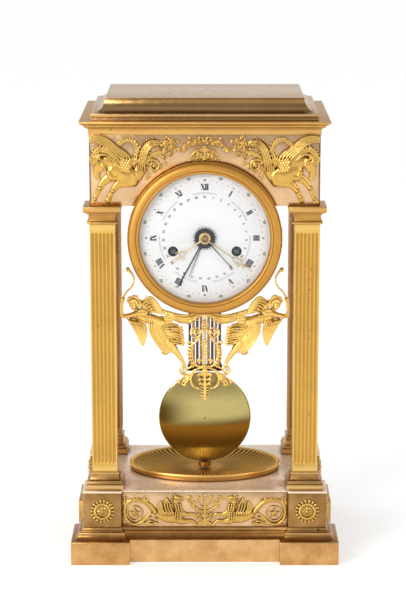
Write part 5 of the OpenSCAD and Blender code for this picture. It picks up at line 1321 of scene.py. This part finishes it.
# %% Griffin of the base
def griffin():
    body = mass((-53.6, 17.6, 2.6), (-49, 13.6, 3.6), (-43, 10.6, 4.6), (-36.5, 9.4, 5.4),
                (-30, 10.6, 6.2), (-26.6, 14.6, 5.8), depth=0.42)
    body += mass((-27.4, 17.6, 5.0), (-29.4, 22.6, 3.9), (-30.8, 27.4, 3.0), (-30.2, 31.6, 2.6), depth=0.5)
    body += mass((-30, 32.2, 2.3), (-27, 32.2, 1.7), (-24, 31.6, 1.1), (-22, 30, 0.6), lift=1.0, depth=0.8)
    body += mass((-28.4, 29.8, 1.3), (-25.4, 29, 0.9), (-23.4, 27.9, 0.5), lift=0.9)
    body += bead_at(-28.6, 32.6, 0.7, 2.4)
    body += leaf(-31, 33.4, 112, 3.8, 1.7, lift=1.8) + leaf(-32.4, 32, 140, 3.4, 1.5, lift=1.6)
    body += sprays([(-34, 18), (-34.4, 24), (-33.4, 31)], 2.8, 1.5, 2.2, 62, 1.8, (1,), 0.0)
    body += [s for row in range(6) for k in range(3)
             for s in leaf(-31 + 2.5 * k + 0.5 * row * (row < 3), 25.5 - 2.9 * row, -70, 2.6, 1.9,
                           lift=2.5 + 0.15 * row)]
    paws = mass((-23.4, 14.6, 3.0), (-18, 13.2, 2.0), (-13, 14.2, 1.6), (-10.2, 12.2, 1.5),
                (-8.9, 9.4, 1.6), lift=0.7)
    paws += mass((-26, 6.4, 3.6), (-19.6, 5.8, 2.3), (-14.4, 6.6, 1.7), (-11, 4.2, 1.5), (-9.4, 2.2, 1.6),
                 lift=0.9)
    paws += fan(-9, 9.4, (-110, -80, -45), 2.4, 1.2, lift=1.2)
    paws += fan(-9.4, 2.6, (-70, -35, 0), 2.4, 1.2, lift=1.2)
    wing = mass((-36, 16, 3.4), (-38.4, 21, 3.0), (-39.2, 26, 2.2), (-40, 30.4, 1.0), lift=0.8)
    wing += mass((-41, 15, 3.2), (-44.6, 19.6, 2.8), (-46, 23.6, 2.0), (-45.8, 27.4, 0.9), lift=0.6)
    wing += between([(-33.6, 16, 0.9), (-35.6, 21, 1.0), (-37, 26.2, 0.9), (-39.6, 31.4, 0.6)],
                    [(-39.2, 16, 0.9), (-41.4, 21, 1.0), (-42, 26, 0.9), (-40.6, 31.2, 0.6)], 3, lift=2.9,
                    depth=1.0)
    wing += between([(-41, 14.6, 0.9), (-44, 19, 1.0), (-44.8, 23.6, 0.9), (-45.4, 28, 0.6)],
                    [(-45.4, 14.4, 0.9), (-48.6, 18.4, 1.0), (-48.6, 23, 0.9), (-46.4, 27.8, 0.6)], 3,
                    lift=2.4, depth=1.0)
    wing += [s for k in range(5)
             for s in leaf(-33 - 2.6 * k, 14 - 0.2 * k, 95, 3.2, 2.3, lift=3.6 - 0.2 * k)]
    tail = mass((-52.4, 16.6, 2.8), (-55.6, 20.8, 2.4), (-59.6, 25, 2.2), (-65, 28.2, 2.0),
                (-72.4, 29.4, 1.9), (-79.6, 27.6, 1.8), (-83.6, 22, 1.7), (-84.2, 14.4, 1.7),
                (-81.8, 7.2, 1.7), (-76.6, 3.2, 1.6), (-70.4, 3.2, 1.6), (-65.4, 6.2, 1.5),
                (-60.6, 11, 1.4), (-56.4, 15.2, 1.0), lift=0.7, depth=0.8)
    tail += sprays([(-58, 24), (-65, 29), (-73, 30.2), (-80.4, 28), (-84.2, 22), (-84.8, 14), (-82, 6.4)],
                   3.4, 1.7, 3.0, 48, 1.0, (-1,), 0.0)
    tail += leaf(-62.8, 27, 96, 6.8, 2.6, lift=1.4) + leaf(-61.6, 26.6, 66, 5.4, 1.9, -15, 1.2)
    tail += leaf(-64.4, 27.4, 124, 4.8, 1.9, 15, 1.2)
    tail += leaf(-84.4, 26, 92, 9, 2.4, -6, 1.0) + leaf(-82, 28, 66, 5, 1.8, 18, 1.0)
    tail += leaf(-85.2, 24, 112, 5.4, 1.7, -10, 0.9)
    ring = mass(*[(*polar(-73.4, 14.8, 15 * k, 7.9), 0.75) for k in range(25)], lift=0.9, depth=1.0)
    ring += flower(-73.4, 14.8, 5.4, 5, 1.2, 18) + flower(-73.4, 14.8, 3.0, 5, 2.2, 54)
    leaves = leaf(-62, 6.2, 62, 8.4, 1.9, -28, 1.0) + leaf(-60.8, 4.8, 30, 8.6, 2.2, -30, 1.1)
    leaves += leaf(-60, 3.4, 4, 9, 2.2, -12, 1.2)
    leaves += leaf(-60.6, 2.4, -14, 8.4, 1.9, 14, 1.0) + curl(-51.8, 7.6, 2.0, 0.75, 150, -1.2, 1.1)
    leaves += curl(-50.8, 2.8, 1.9, 0.75, 180, -1.2, 1.1)
    leaves += leaf(-64, 3.4, 190, 6, 1.7, -18, 0.9)
    leaves += mass((-66.4, 4.4, 1.3), (-62.6, 3.8, 1.5), (-59.6, 3.4, 1.3), lift=0.9)
    return body + paws + wing + tail + ring + leaves


mount_pair("griffin", PANEL_FACE, raised(griffin(), DIE_FOOT), relief_gilt, 0.3)


# %% Palmette of the base
def palmette():
    half = mass((0, 16.6, 1.0), (-6, 18.8, 0.9), (-11, 21.8, 0.9), (-14.4, 25.4, 0.85), (-17.6, 28.4, 0.8),
                lift=0.8, depth=1.0)
    half += curl(-15.6, 30.9, 3.1, 0.85, -150, -1.4, 1.0) + curl(-11.4, 26.4, 2.4, 0.75, 250, 1.4, 1.0)
    half += curl(-7.4, 31.6, 2.3, 0.75, -20, 1.3, 1.0)
    half += mass((0, 20, 0.9), (-4.4, 23.6, 0.8), (-6.2, 27.6, 0.8), (-5.4, 31, 0.7), lift=0.8, depth=1.0)
    half += fan(-7, 19.4, (120, 150, 205, 235), 3.6, 1.5, lift=1.0)
    half += fan(-12.6, 23, (190, 230), 3.4, 1.4, lift=1.0)
    half += flower(-6.6, 13, 3.4, 6, 1.2)
    half += mass((0, 6.4, 1.0), (-3.6, 8.6, 0.9), (-6, 11.6, 0.8), lift=0.8, depth=1.0)
    half += leaf(-0.4, 1.6, 152, 7.4, 2.2, -34, 1.0) + leaf(-0.4, 2.4, 118, 6.8, 2.0, -22, 1.2)
    half += curl(-4.6, 3.4, 1.9, 0.75, 200, -1.2, 1.1)
    half += leaf(-0.4, 10, 130, 6, 1.6, -20, 1.0)
    stem = mass((0, 1.4, 1.4), (0, 12, 1.3), (0, 24, 1.1), (0, 35.2, 0.7), lift=1.1)
    stem += sprays([(0, 17), (0, 26), (0, 36)], 4.2, 1.4, 2.6, 44, 1.3, taper=0.2)
    return half + mirrored(half) + stem


palmette_model = cast("palmette", PANEL_FACE, raised(palmette(), DIE_FOOT), 0.3)
fit(palmette_model, "case", "gilt_bronze", relief_gilt, "palmette_mount")


# %% Winged figure under the drum
def figure():
    trumpet = mass((-80.6, 300.8, 2.6), (-79.4, 299.6, 1.7), (-76.6, 296.6, 1.1), (-74.6, 292.4, 1.0),
                   (-74.6, 287, 1.0), (-77.8, 281.2, 1.0), (-82, 277, 1.0), (-84.8, 272.4, 1.2),
                   (-86.4, 268, 1.5), lift=2.2, depth=0.9)
    trumpet += mass((-79.4, 264.6, 0.7), (-77.6, 260.8, 0.8), (-73.6, 257.8, 0.9), lift=5.0)
    arm = mass((-86.2, 268.6, 1.9), (-87.4, 262, 1.6), (-87.2, 254.4, 1.8), (-85.4, 250.8, 2.3),
               (-79, 251.6, 2.5), (-71, 254, 3.1), (-64, 254, 3.6), lift=2.2, depth=0.8)
    arm += bead_at(-86, 269.6, 2.0, 2.8)
    arm += mass((-70, 256.6, 1.6), (-66, 257.4, 2.0), (-62, 255.6, 1.6), lift=3.6)
    head = mass((-75.2, 262, 4.0), (-75.4, 265.2, 4.4), lift=2.0, depth=0.9)
    head += mass((-72.4, 258.5, 2.6), (-69, 254.5, 3.0), lift=2.2)
    head += mass((-77.2, 265.2, 0.5), (-77.8, 263.2, 0.65), lift=5.4)
    head += mass((-77.8, 261.2, 0.4), (-76, 261, 0.45), lift=5.0)
    head += mass((-79, 265.9, 0.45), (-77.2, 266.1, 0.5), (-74.6, 265.9, 0.45), lift=5.2)
    head += bead_at(-76.6, 259.4, 0.9, 4.4)
    head += bead_at(-78.5, 264.9, 0.45, 4.9) + bead_at(-75.4, 264.8, 0.5, 5.3)
    hairline = [(-80.4, 267), (-78, 270.4), (-74.4, 271.6), (-70.8, 269.8), (-68.8, 266), (-68.4, 262)]
    hair = ringlets(hairline, 2.2, 1.9, 0.85, 75, 1.2, 4.2)
    hair += between([(-79.2, 267.4, 0.8), (-75.6, 269.6, 0.8), (-71.8, 268, 0.8), (-70, 264, 0.8)],
                    [(-77.4, 266.6, 0.7), (-74.8, 267.4, 0.7), (-72.4, 266, 0.7), (-71.2, 262.6, 0.7)], 3,
                    lift=5.6)
    hair += mass((-69, 266, 2.0), (-65.6, 264.4, 1.5), (-63.2, 262, 1.0), lift=2.6)
    hair += curl(-65, 264.6, 2.0, 0.8, 150, 1.2, 3.4)
    hair += leaf(-68, 262, -20, 6, 1.8, -30, 3.4) + leaf(-67.6, 267.6, 10, 5, 1.6, -25, 3.0)
    torso = mass((-68.5, 250.5, 4.6), (-60, 248.4, 5.4), (-52, 246.6, 5.2), (-46.5, 244, 4.8), lift=1.5,
                 depth=0.6)
    torso += mass((-70, 243.5, 3.4), (-64, 245, 3.6), lift=1.6)
    torso += between([(-66, 253, 0.6), (-62, 249, 0.6), (-60, 244, 0.6)],
                     [(-58, 252.6, 0.6), (-55, 249, 0.6), (-54, 243.4, 0.6)], 4, lift=4.4, depth=1)
    bed = mass((-62, 255, 4), (-61, 262, 4.6), (-57, 264, 4.4), (-51.5, 259.6, 3.4), (-46.5, 255.6, 1.6),
               lift=0.6)
    upper = between([(-64.5, 254, 0.9), (-66.2, 261, 1.0), (-63.4, 268.4, 1.1), (-57.4, 271.4, 1.0),
                     (-51.6, 267, 0.9), (-46, 259, 0.6)],
                    [(-60, 252.6, 0.9), (-60.4, 255, 0.9), (-58.6, 256.8, 0.9), (-55.4, 256.4, 0.9),
                     (-50, 254.2, 0.8), (-45.2, 252.8, 0.5)],
                    8, lift=2.6, depth=1.0)
    upper += [s for row in range(3) for k in range(5)
              for s in leaf(-64.6 + 1.7 * k + 1.2 * row, 266 - 2.7 * k + 0.9 * row, 15 - 6 * k, 3.0, 2.1,
                            lift=4.3 - 0.3 * row)]
    bed += mass((-76, 246, 4), (-70.4, 238, 4.6), (-67, 229, 3.4), (-65.2, 219.6, 1.0), lift=0.4)
    lower = between([(-81.5, 247.6, 0.8), (-76.4, 240, 0.9), (-71.2, 230.4, 0.9), (-66.4, 219.2, 0.5)],
                    [(-64.4, 243.5, 0.8), (-62, 238.4, 0.9), (-62, 229.6, 0.9), (-64.4, 219.2, 0.5)], 8,
                    lift=2.2, depth=1.0)
    lower += [s for k in range(6)
              for s in leaf(-79 + 2.7 * k, 246.4 - 0.6 * k, -60 - 6 * k, 3.4, 2.2, lift=3.6)]
    dress = mass((-53, 243, 6.5), (-51.5, 233.5, 6.4), (-46.6, 224.6, 6.4), (-40, 217, 6.0),
                 (-33, 215.2, 4.4), lift=0.8, depth=0.5)
    dress += between([(-58.6, 243, 0.9), (-57.6, 234, 1.0), (-53.4, 225, 1.0), (-47.4, 216.6, 1.0),
                      (-42, 210.6, 0.9)],
                     [(-47.6, 243, 0.9), (-44.6, 235, 1.0), (-40.4, 227.4, 1.0), (-35.4, 220.6, 1.0),
                      (-32, 213, 0.9)],
                     7, lift=3.2, depth=1.0)
    cloth = mass((-46, 234.5, 6), (-38, 231.5, 5.6), (-31, 229.6, 4.6), (-25.6, 228.4, 3.4), lift=0.5,
                 depth=0.4)
    cloth += mass((-30, 236, 3.4), (-25.6, 235, 2.4), lift=0.5)
    cloth += mass((-28, 224, 3), (-24, 222.6, 2), lift=0.5)
    cloth += mass((-44, 241.6, 3), (-37, 241.4, 2.4), (-29.6, 240.6, 1.6), lift=0.7)
    cloth += mass((-41, 226, 4), (-33, 222.6, 3.2), (-26.4, 220.6, 2.0), lift=0.6)
    cloth += between([(-47, 241, 0.8), (-40, 240, 0.9), (-31.6, 240.8, 0.8), (-24.4, 237.4, 0.9)],
                     [(-43, 228, 0.8), (-36, 223.4, 0.9), (-29, 220.6, 0.9), (-22.8, 219.4, 0.9)], 8,
                     lift=2.0, depth=0.9)
    cloth += [s for k in range(5) for s in curl(-24.6 + 0.5 * k, 237 - 4.2 * k, 1.9, 0.8, 60, 1.1, 1.8)]
    cloth += fan(-42, 212.4, (-160, -130, -100, -70, -40), 4.6, 2.3, lift=1.2)
    cloth += curl(-43.6, 212, 2.2, 0.8, 0, 1.2, 2.0)
    leg = mass((-38, 222, 4.0), (-33.4, 216, 3.6), (-28.6, 209.4, 2.9), (-24.6, 203.4, 2.2),
               (-22.8, 199.4, 1.8), (-21.6, 197, 2.1), lift=1.8, depth=0.8)
    band = mass((-49, 258, 1.8), (-42, 255.4, 1.9), (-36, 253.6, 2.0), (-30, 251.4, 2.0), lift=0.6)
    band += mass((-47, 248, 2.6), (-40, 247.6, 2.2), (-33, 247.2, 1.8), lift=0.6)
    band += curl(-39.4, 251.4, 2.8, 0.85, 90, 1.3, 1.2)
    band += mass((-46, 245, 2.8), (-40, 244.4, 2.4), (-36, 244.2, 1.8), lift=0.6)
    band += leaf(-44, 252, 20, 5, 1.8, -20, 1.2) + leaf(-34, 249.4, 150, 4.4, 1.6, 30, 1.2)
    return trumpet + arm + head + hair + torso + bed + upper + lower + dress + cloth + leg + band


# The figures take the paler gilt, which is painted light.
mount_pair("figure", APRON_FACE, figure(), lit_figure_gilt)


# %% Filigree between the figures
def filigree():
    half = mass((-34, 250.8, 4.0), (-25, 247.6, 5.2), (-18, 247.4, 5.0), (-11, 250, 3.4), (-4, 252.4, 2.2),
                lift=0.5, depth=0.4)
    half += between([(-33, 253, 0.6), (-24, 251.4, 0.6), (-12, 252.6, 0.5), (-4, 253.6, 0.5)],
                    [(-33, 248.4, 0.6), (-25, 244, 0.6), (-18, 243.6, 0.6), (-9, 248.4, 0.5)], 4, lift=2.0,
                    depth=1.0)
    half += sprays([(-22, 243.6), (-16, 243.4), (-8, 247.6)], 2.6, 1.3, 2.2, 60, 0.8, (-1,), 0.0)
    ring = [(*polar(-10, 232.8, angle, 5.3), 0.62) for angle in range(60, 400, 15)]
    half += mass(*ring, lift=1.0, depth=1.0)
    half += curl(-10.4, 233.4, 3.4, 0.6, 20, -1.2, 1.0)
    half += fan(-10.2, 233.6, (60, 95, 130, 240, 280), 3.2, 1.1, lift=1.2)
    half += mass((0, 238.6, 0.9), (-3.4, 234, 0.8), (-6, 228, 0.75), (-8.8, 223.4, 0.8),
                 (-13.4, 219.6, 0.9), lift=1.0, depth=1.0)
    half += fan(-1, 240.4, (150, 175, 200), 3.2, 1.1) + leaf(-5, 230, 200, 4.6, 1.2, 30)
    half += leaf(-7, 226, 160, 4.2, 1.2, 25)
    acanthus = [(-12, 221.6, 1.2), (-15, 215.4, 1.4), (-15.2, 208, 1.5), (-13.8, 201, 1.3),
                (-10.6, 196.8, 1.0)]
    half += mass(*acanthus, lift=1.0) + sprays(acanthus, 4.8, 1.7, 2.9, 52, 1.2, taper=0.1)
    half += sprays(acanthus, 2.6, 1.2, 2.9, 25, 2.2, taper=0.0)
    half += curl(-17.4, 221.6, 2.0, 0.7, 0, 1.2, 1.0)
    half += mass((-10.6, 197, 0.9), (-6, 195.6, 0.9), (-1, 196.2, 0.9), lift=1.0)
    half += sprays([(0, 222.6), (0, 213), (0, 203)], 5.4, 1.4, 2.8, 138, 1.0, sides=(1,), taper=0.0)
    half += curl(-6.2, 201.6, 2.2, 0.6, 60, 1.2, 0.9) + leaf(-1, 203, 200, 5, 1.2, -30, 0.9)
    half += mass((-1, 195, 1.0), (-6.4, 193.4, 0.9), (-11, 191.8, 0.9), (-14.6, 188.6, 0.9),
                 (-19.6, 186.6, 0.9), (-25, 187.6, 0.9), lift=1.0, depth=1.0)
    half += curl(-22.2, 191.6, 4.7, 0.85, -130, -1.5, 1.0)
    half += mass((-17.6, 193.6, 0.8), (-13.6, 195.6, 0.8), (-10.6, 197, 0.8), lift=1.0)
    half += between([(-13, 187.6, 0.7), (-19, 184.6, 0.8), (-24.6, 182.4, 0.8), (-28.4, 178, 0.6)],
                    [(-13.4, 185.6, 0.7), (-17, 181.4, 0.8), (-20.4, 177.6, 0.8), (-21.6, 174.4, 0.6)], 3,
                    lift=1.1, depth=1.0)
    half += fan(-27, 179, (170, 220, 270), 3.0, 1.3, lift=1.2)
    half += fan(-21.6, 176.4, (210, 260, 310), 3.0, 1.3, lift=1.2) + leaf(-23, 181, 300, 4, 1.3, 20, 1.2)
    half += mass((-11, 190.6, 0.9), (-14.2, 185, 1.0), (-14.8, 179, 1.0), (-12.2, 173.8, 1.0),
                 (-7.4, 171.6, 0.9), lift=1.1, depth=1.0)
    half += bead_at(-7, 171.8, 1.4, 1.3)
    half += leaf(-0.6, 192.6, 222, 8.6, 2.2, 35, 1.2) + leaf(-0.6, 187.4, 205, 7.2, 2.2, -45, 1.2)
    half += leaf(-0.6, 181.8, 200, 6.6, 2.1, -45, 1.2)
    half += bead_at(-6.4, 186.4, 1.3, 1.3) + bead_at(-6, 181, 1.3, 1.3) + bead_at(-5.6, 176.4, 1.2, 1.3)
    half += leaf(-0.6, 177, 195, 6, 1.8, -40, 1.2)
    half += sprays([(0, 176), (0, 168), (0, 157)], 6.0, 1.5, 2.5, 128, 1.0, sides=(-1,), taper=0.25)
    stem = mass((0, 255, 1.8), (0, 249, 1.6), (0, 243, 1.3), (0, 232, 1.1), (0, 215, 1.0), (0, 197, 1.0),
                lift=1.0)
    stem += mass((0, 197, 1.9), (0, 193, 2.1), (0, 187, 1.4), (0, 175, 1.2), (0, 162, 1.0),
                 (0, 157.8, 0.5), lift=1.2)
    stem += flower(0, 245, 3.0, 7, 1.8) + bead_at(0, 238.2, 1.9, 1.6) + bead_at(0, 223.8, 1.8, 1.6)
    stem += bead_at(0, 196, 1.9, 2.0)
    stem += between([(-9, 254, 1.2), (-9, 264, 1.2), (-9, 274, 1.2)],
                    [(9, 254, 1.2), (9, 264, 1.2), (9, 274, 1.2)], 10, lift=0.4, depth=0.6)
    half = thickened(half, 1.3, 1.1)
    return half + mirrored(half) + stem


filigree_model = cast("filigree", APRON_FACE, filigree(), 0.34)
fit(filigree_model, "case", "gilt_bronze", lit_figure_gilt, "apron_centre_mount")

# %% Rosettes of the dies
ROSETTE_Z, DIE_HALF = middle("base_rosettes")[2], 19.75


def rosette():
    lobes = [s for k in range(18)
             for s in mass((*polar(0, 0, 20 * k, 8.6), 1.2), (*polar(0, 0, 20 * k, 11.4), 1.6), lift=0.5,
                           depth=0.8)]
    lobes += bead_at(0, 0, 6.4, 0.7, 0.1)
    rim = [(*polar(0, 0, 10 * k, 7.9), 1.3) for k in range(37)]
    rope = [s for k in range(22)
            for s in leaf(*polar(0, 0, 16.36 * k, 6.9), 16.36 * k + 42, 2.7, 1.6, lift=2.6)]
    lobes += mass(*rim, lift=1.7, depth=0.7)
    return lobes + rope + flower(0, 0, 5.6, 8, 1.3) + flower(0, 0, 3.2, 6, 2.6, 15)


rosette_model = cast("rosette", 0, rosette(), 0.34)
places = [(sx * (DIE_X - DIE_HALF), -DIE_Y, 0) for sx in (-1, 1)]
places += [(sx * DIE_X, sy * (DIE_Y - DIE_HALF), sx * 90) for sx in (-1, 1) for sy in (-1, 1)]
rosettes = []
for x, y, turn in places:
    rosettes.append(copy_of(rosette_model, "rosette"))
    turn_mesh(rosettes[-1], -turn)
    move_mesh(rosettes[-1], x, y, ROSETTE_Z)
bpy.data.objects.remove(rosette_model)
fit(join("chased_rosettes", rosettes), "case", "gilt_bronze", relief_gilt, "base_rosettes")

# %% [markdown]
# ## Hands
# Five hands turn on one centre. The three blued ones, for the date, the weekday and the day of the year,
# are plain, and their CAD shape stays. The gilt pair is pierced: its hands are strands too, laid along
# their own angle and cast at a fine voxel.

# %% Casting a hand
HAND_THICK, HAND_VOXEL = 0.7, 0.13


def hand(name, body, angle, y, outline, node):
    """The outline is strands of (aside, radius, half width) along the hand."""
    strands = []
    for points in outline:
        depth = HAND_THICK * 0.5 / max(width for _, _, width in points)
        strands.append(([(*on_dial(angle, v, u), w) for u, v, w in points], HAND_THICK * 0.45, depth))
    model = cast(name, y + HAND_THICK, strands, HAND_VOXEL)
    return fit(model, body, "gilt_bronze", hand_gilt, node)


def arms(*points):
    """The strand and its mirror image across the hand's middle line."""
    return [points, [(-u, v, w) for u, v, w in points]]


def boss(radius, width):
    turns = [math.radians(15 * k) for k in range(25)]
    return [[(radius * math.sin(a), radius * math.cos(a), width) for a in turns]]


hour_outline = boss(5.2, 0.9) + boss(3.8, 0.6)
hour_outline += [[(0, 6, 0.9), (0, 16, 0.65), (0, 24.6, 0.6)]]
hour_outline += [[(0, 31.6, 0.7), (0, 37, 0.6), (0, 44.4, 0.25)]]
hour_outline += arms((0, 24.8, 0.55), (2.0, 26.2, 0.6), (2.9, 28.4, 0.6), (2.1, 30.6, 0.55), (0, 31.8, 0.5))
hour_outline += arms((2.7, 29.6, 0.5), (4.2, 31.0, 0.5), (4.4, 32.8, 0.4), (3.4, 33.4, 0.35))
hand("gilt_hour_hand", "hour", 235.5, -82, hour_outline, "hour_hand")

minute_outline = boss(3.2, 0.8) + [[(0, 5, 0.85), (0, 18, 0.6), (0, 34.6, 0.55)]]
minute_outline += [[(0, 46.6, 0.7), (0, 50, 1.0), (0, 53, 0.6), (0, 57, 0.25)]]
minute_outline += arms((0, 34.8, 0.55), (2.2, 37.4, 0.6), (3.0, 40.4, 0.6), (2.0, 43.6, 0.55), (0, 46.2, 0.5))
minute_outline += arms((2.8, 41.4, 0.5), (4.2, 43.4, 0.45), (3.8, 45.2, 0.4), (2.8, 44.9, 0.35))
minute_outline += arms((0.4, 47.8, 0.45), (2.1, 48.8, 0.45), (2.2, 50.4, 0.35))
hand("gilt_minute_hand", "centre", 124.6, -83, minute_outline, "minute_hand")

collar_section = [(1.9, -82.5), (3.6, -82.5), (3.6, -83.4), (3.3, -83.8), (2.9, -83.9), (2.7, -83.6)]
collar_section += [(2.4, -83.6), (2.3, -84.0), (1.9, -84.1), (1.9, -82.5)]
collar = turned("gilt_collar", collar_section, (0, 0, DIAL_Z), steps=48)
fit(collar, "centre", "gilt_bronze", tarnish_and_shade_gilt)
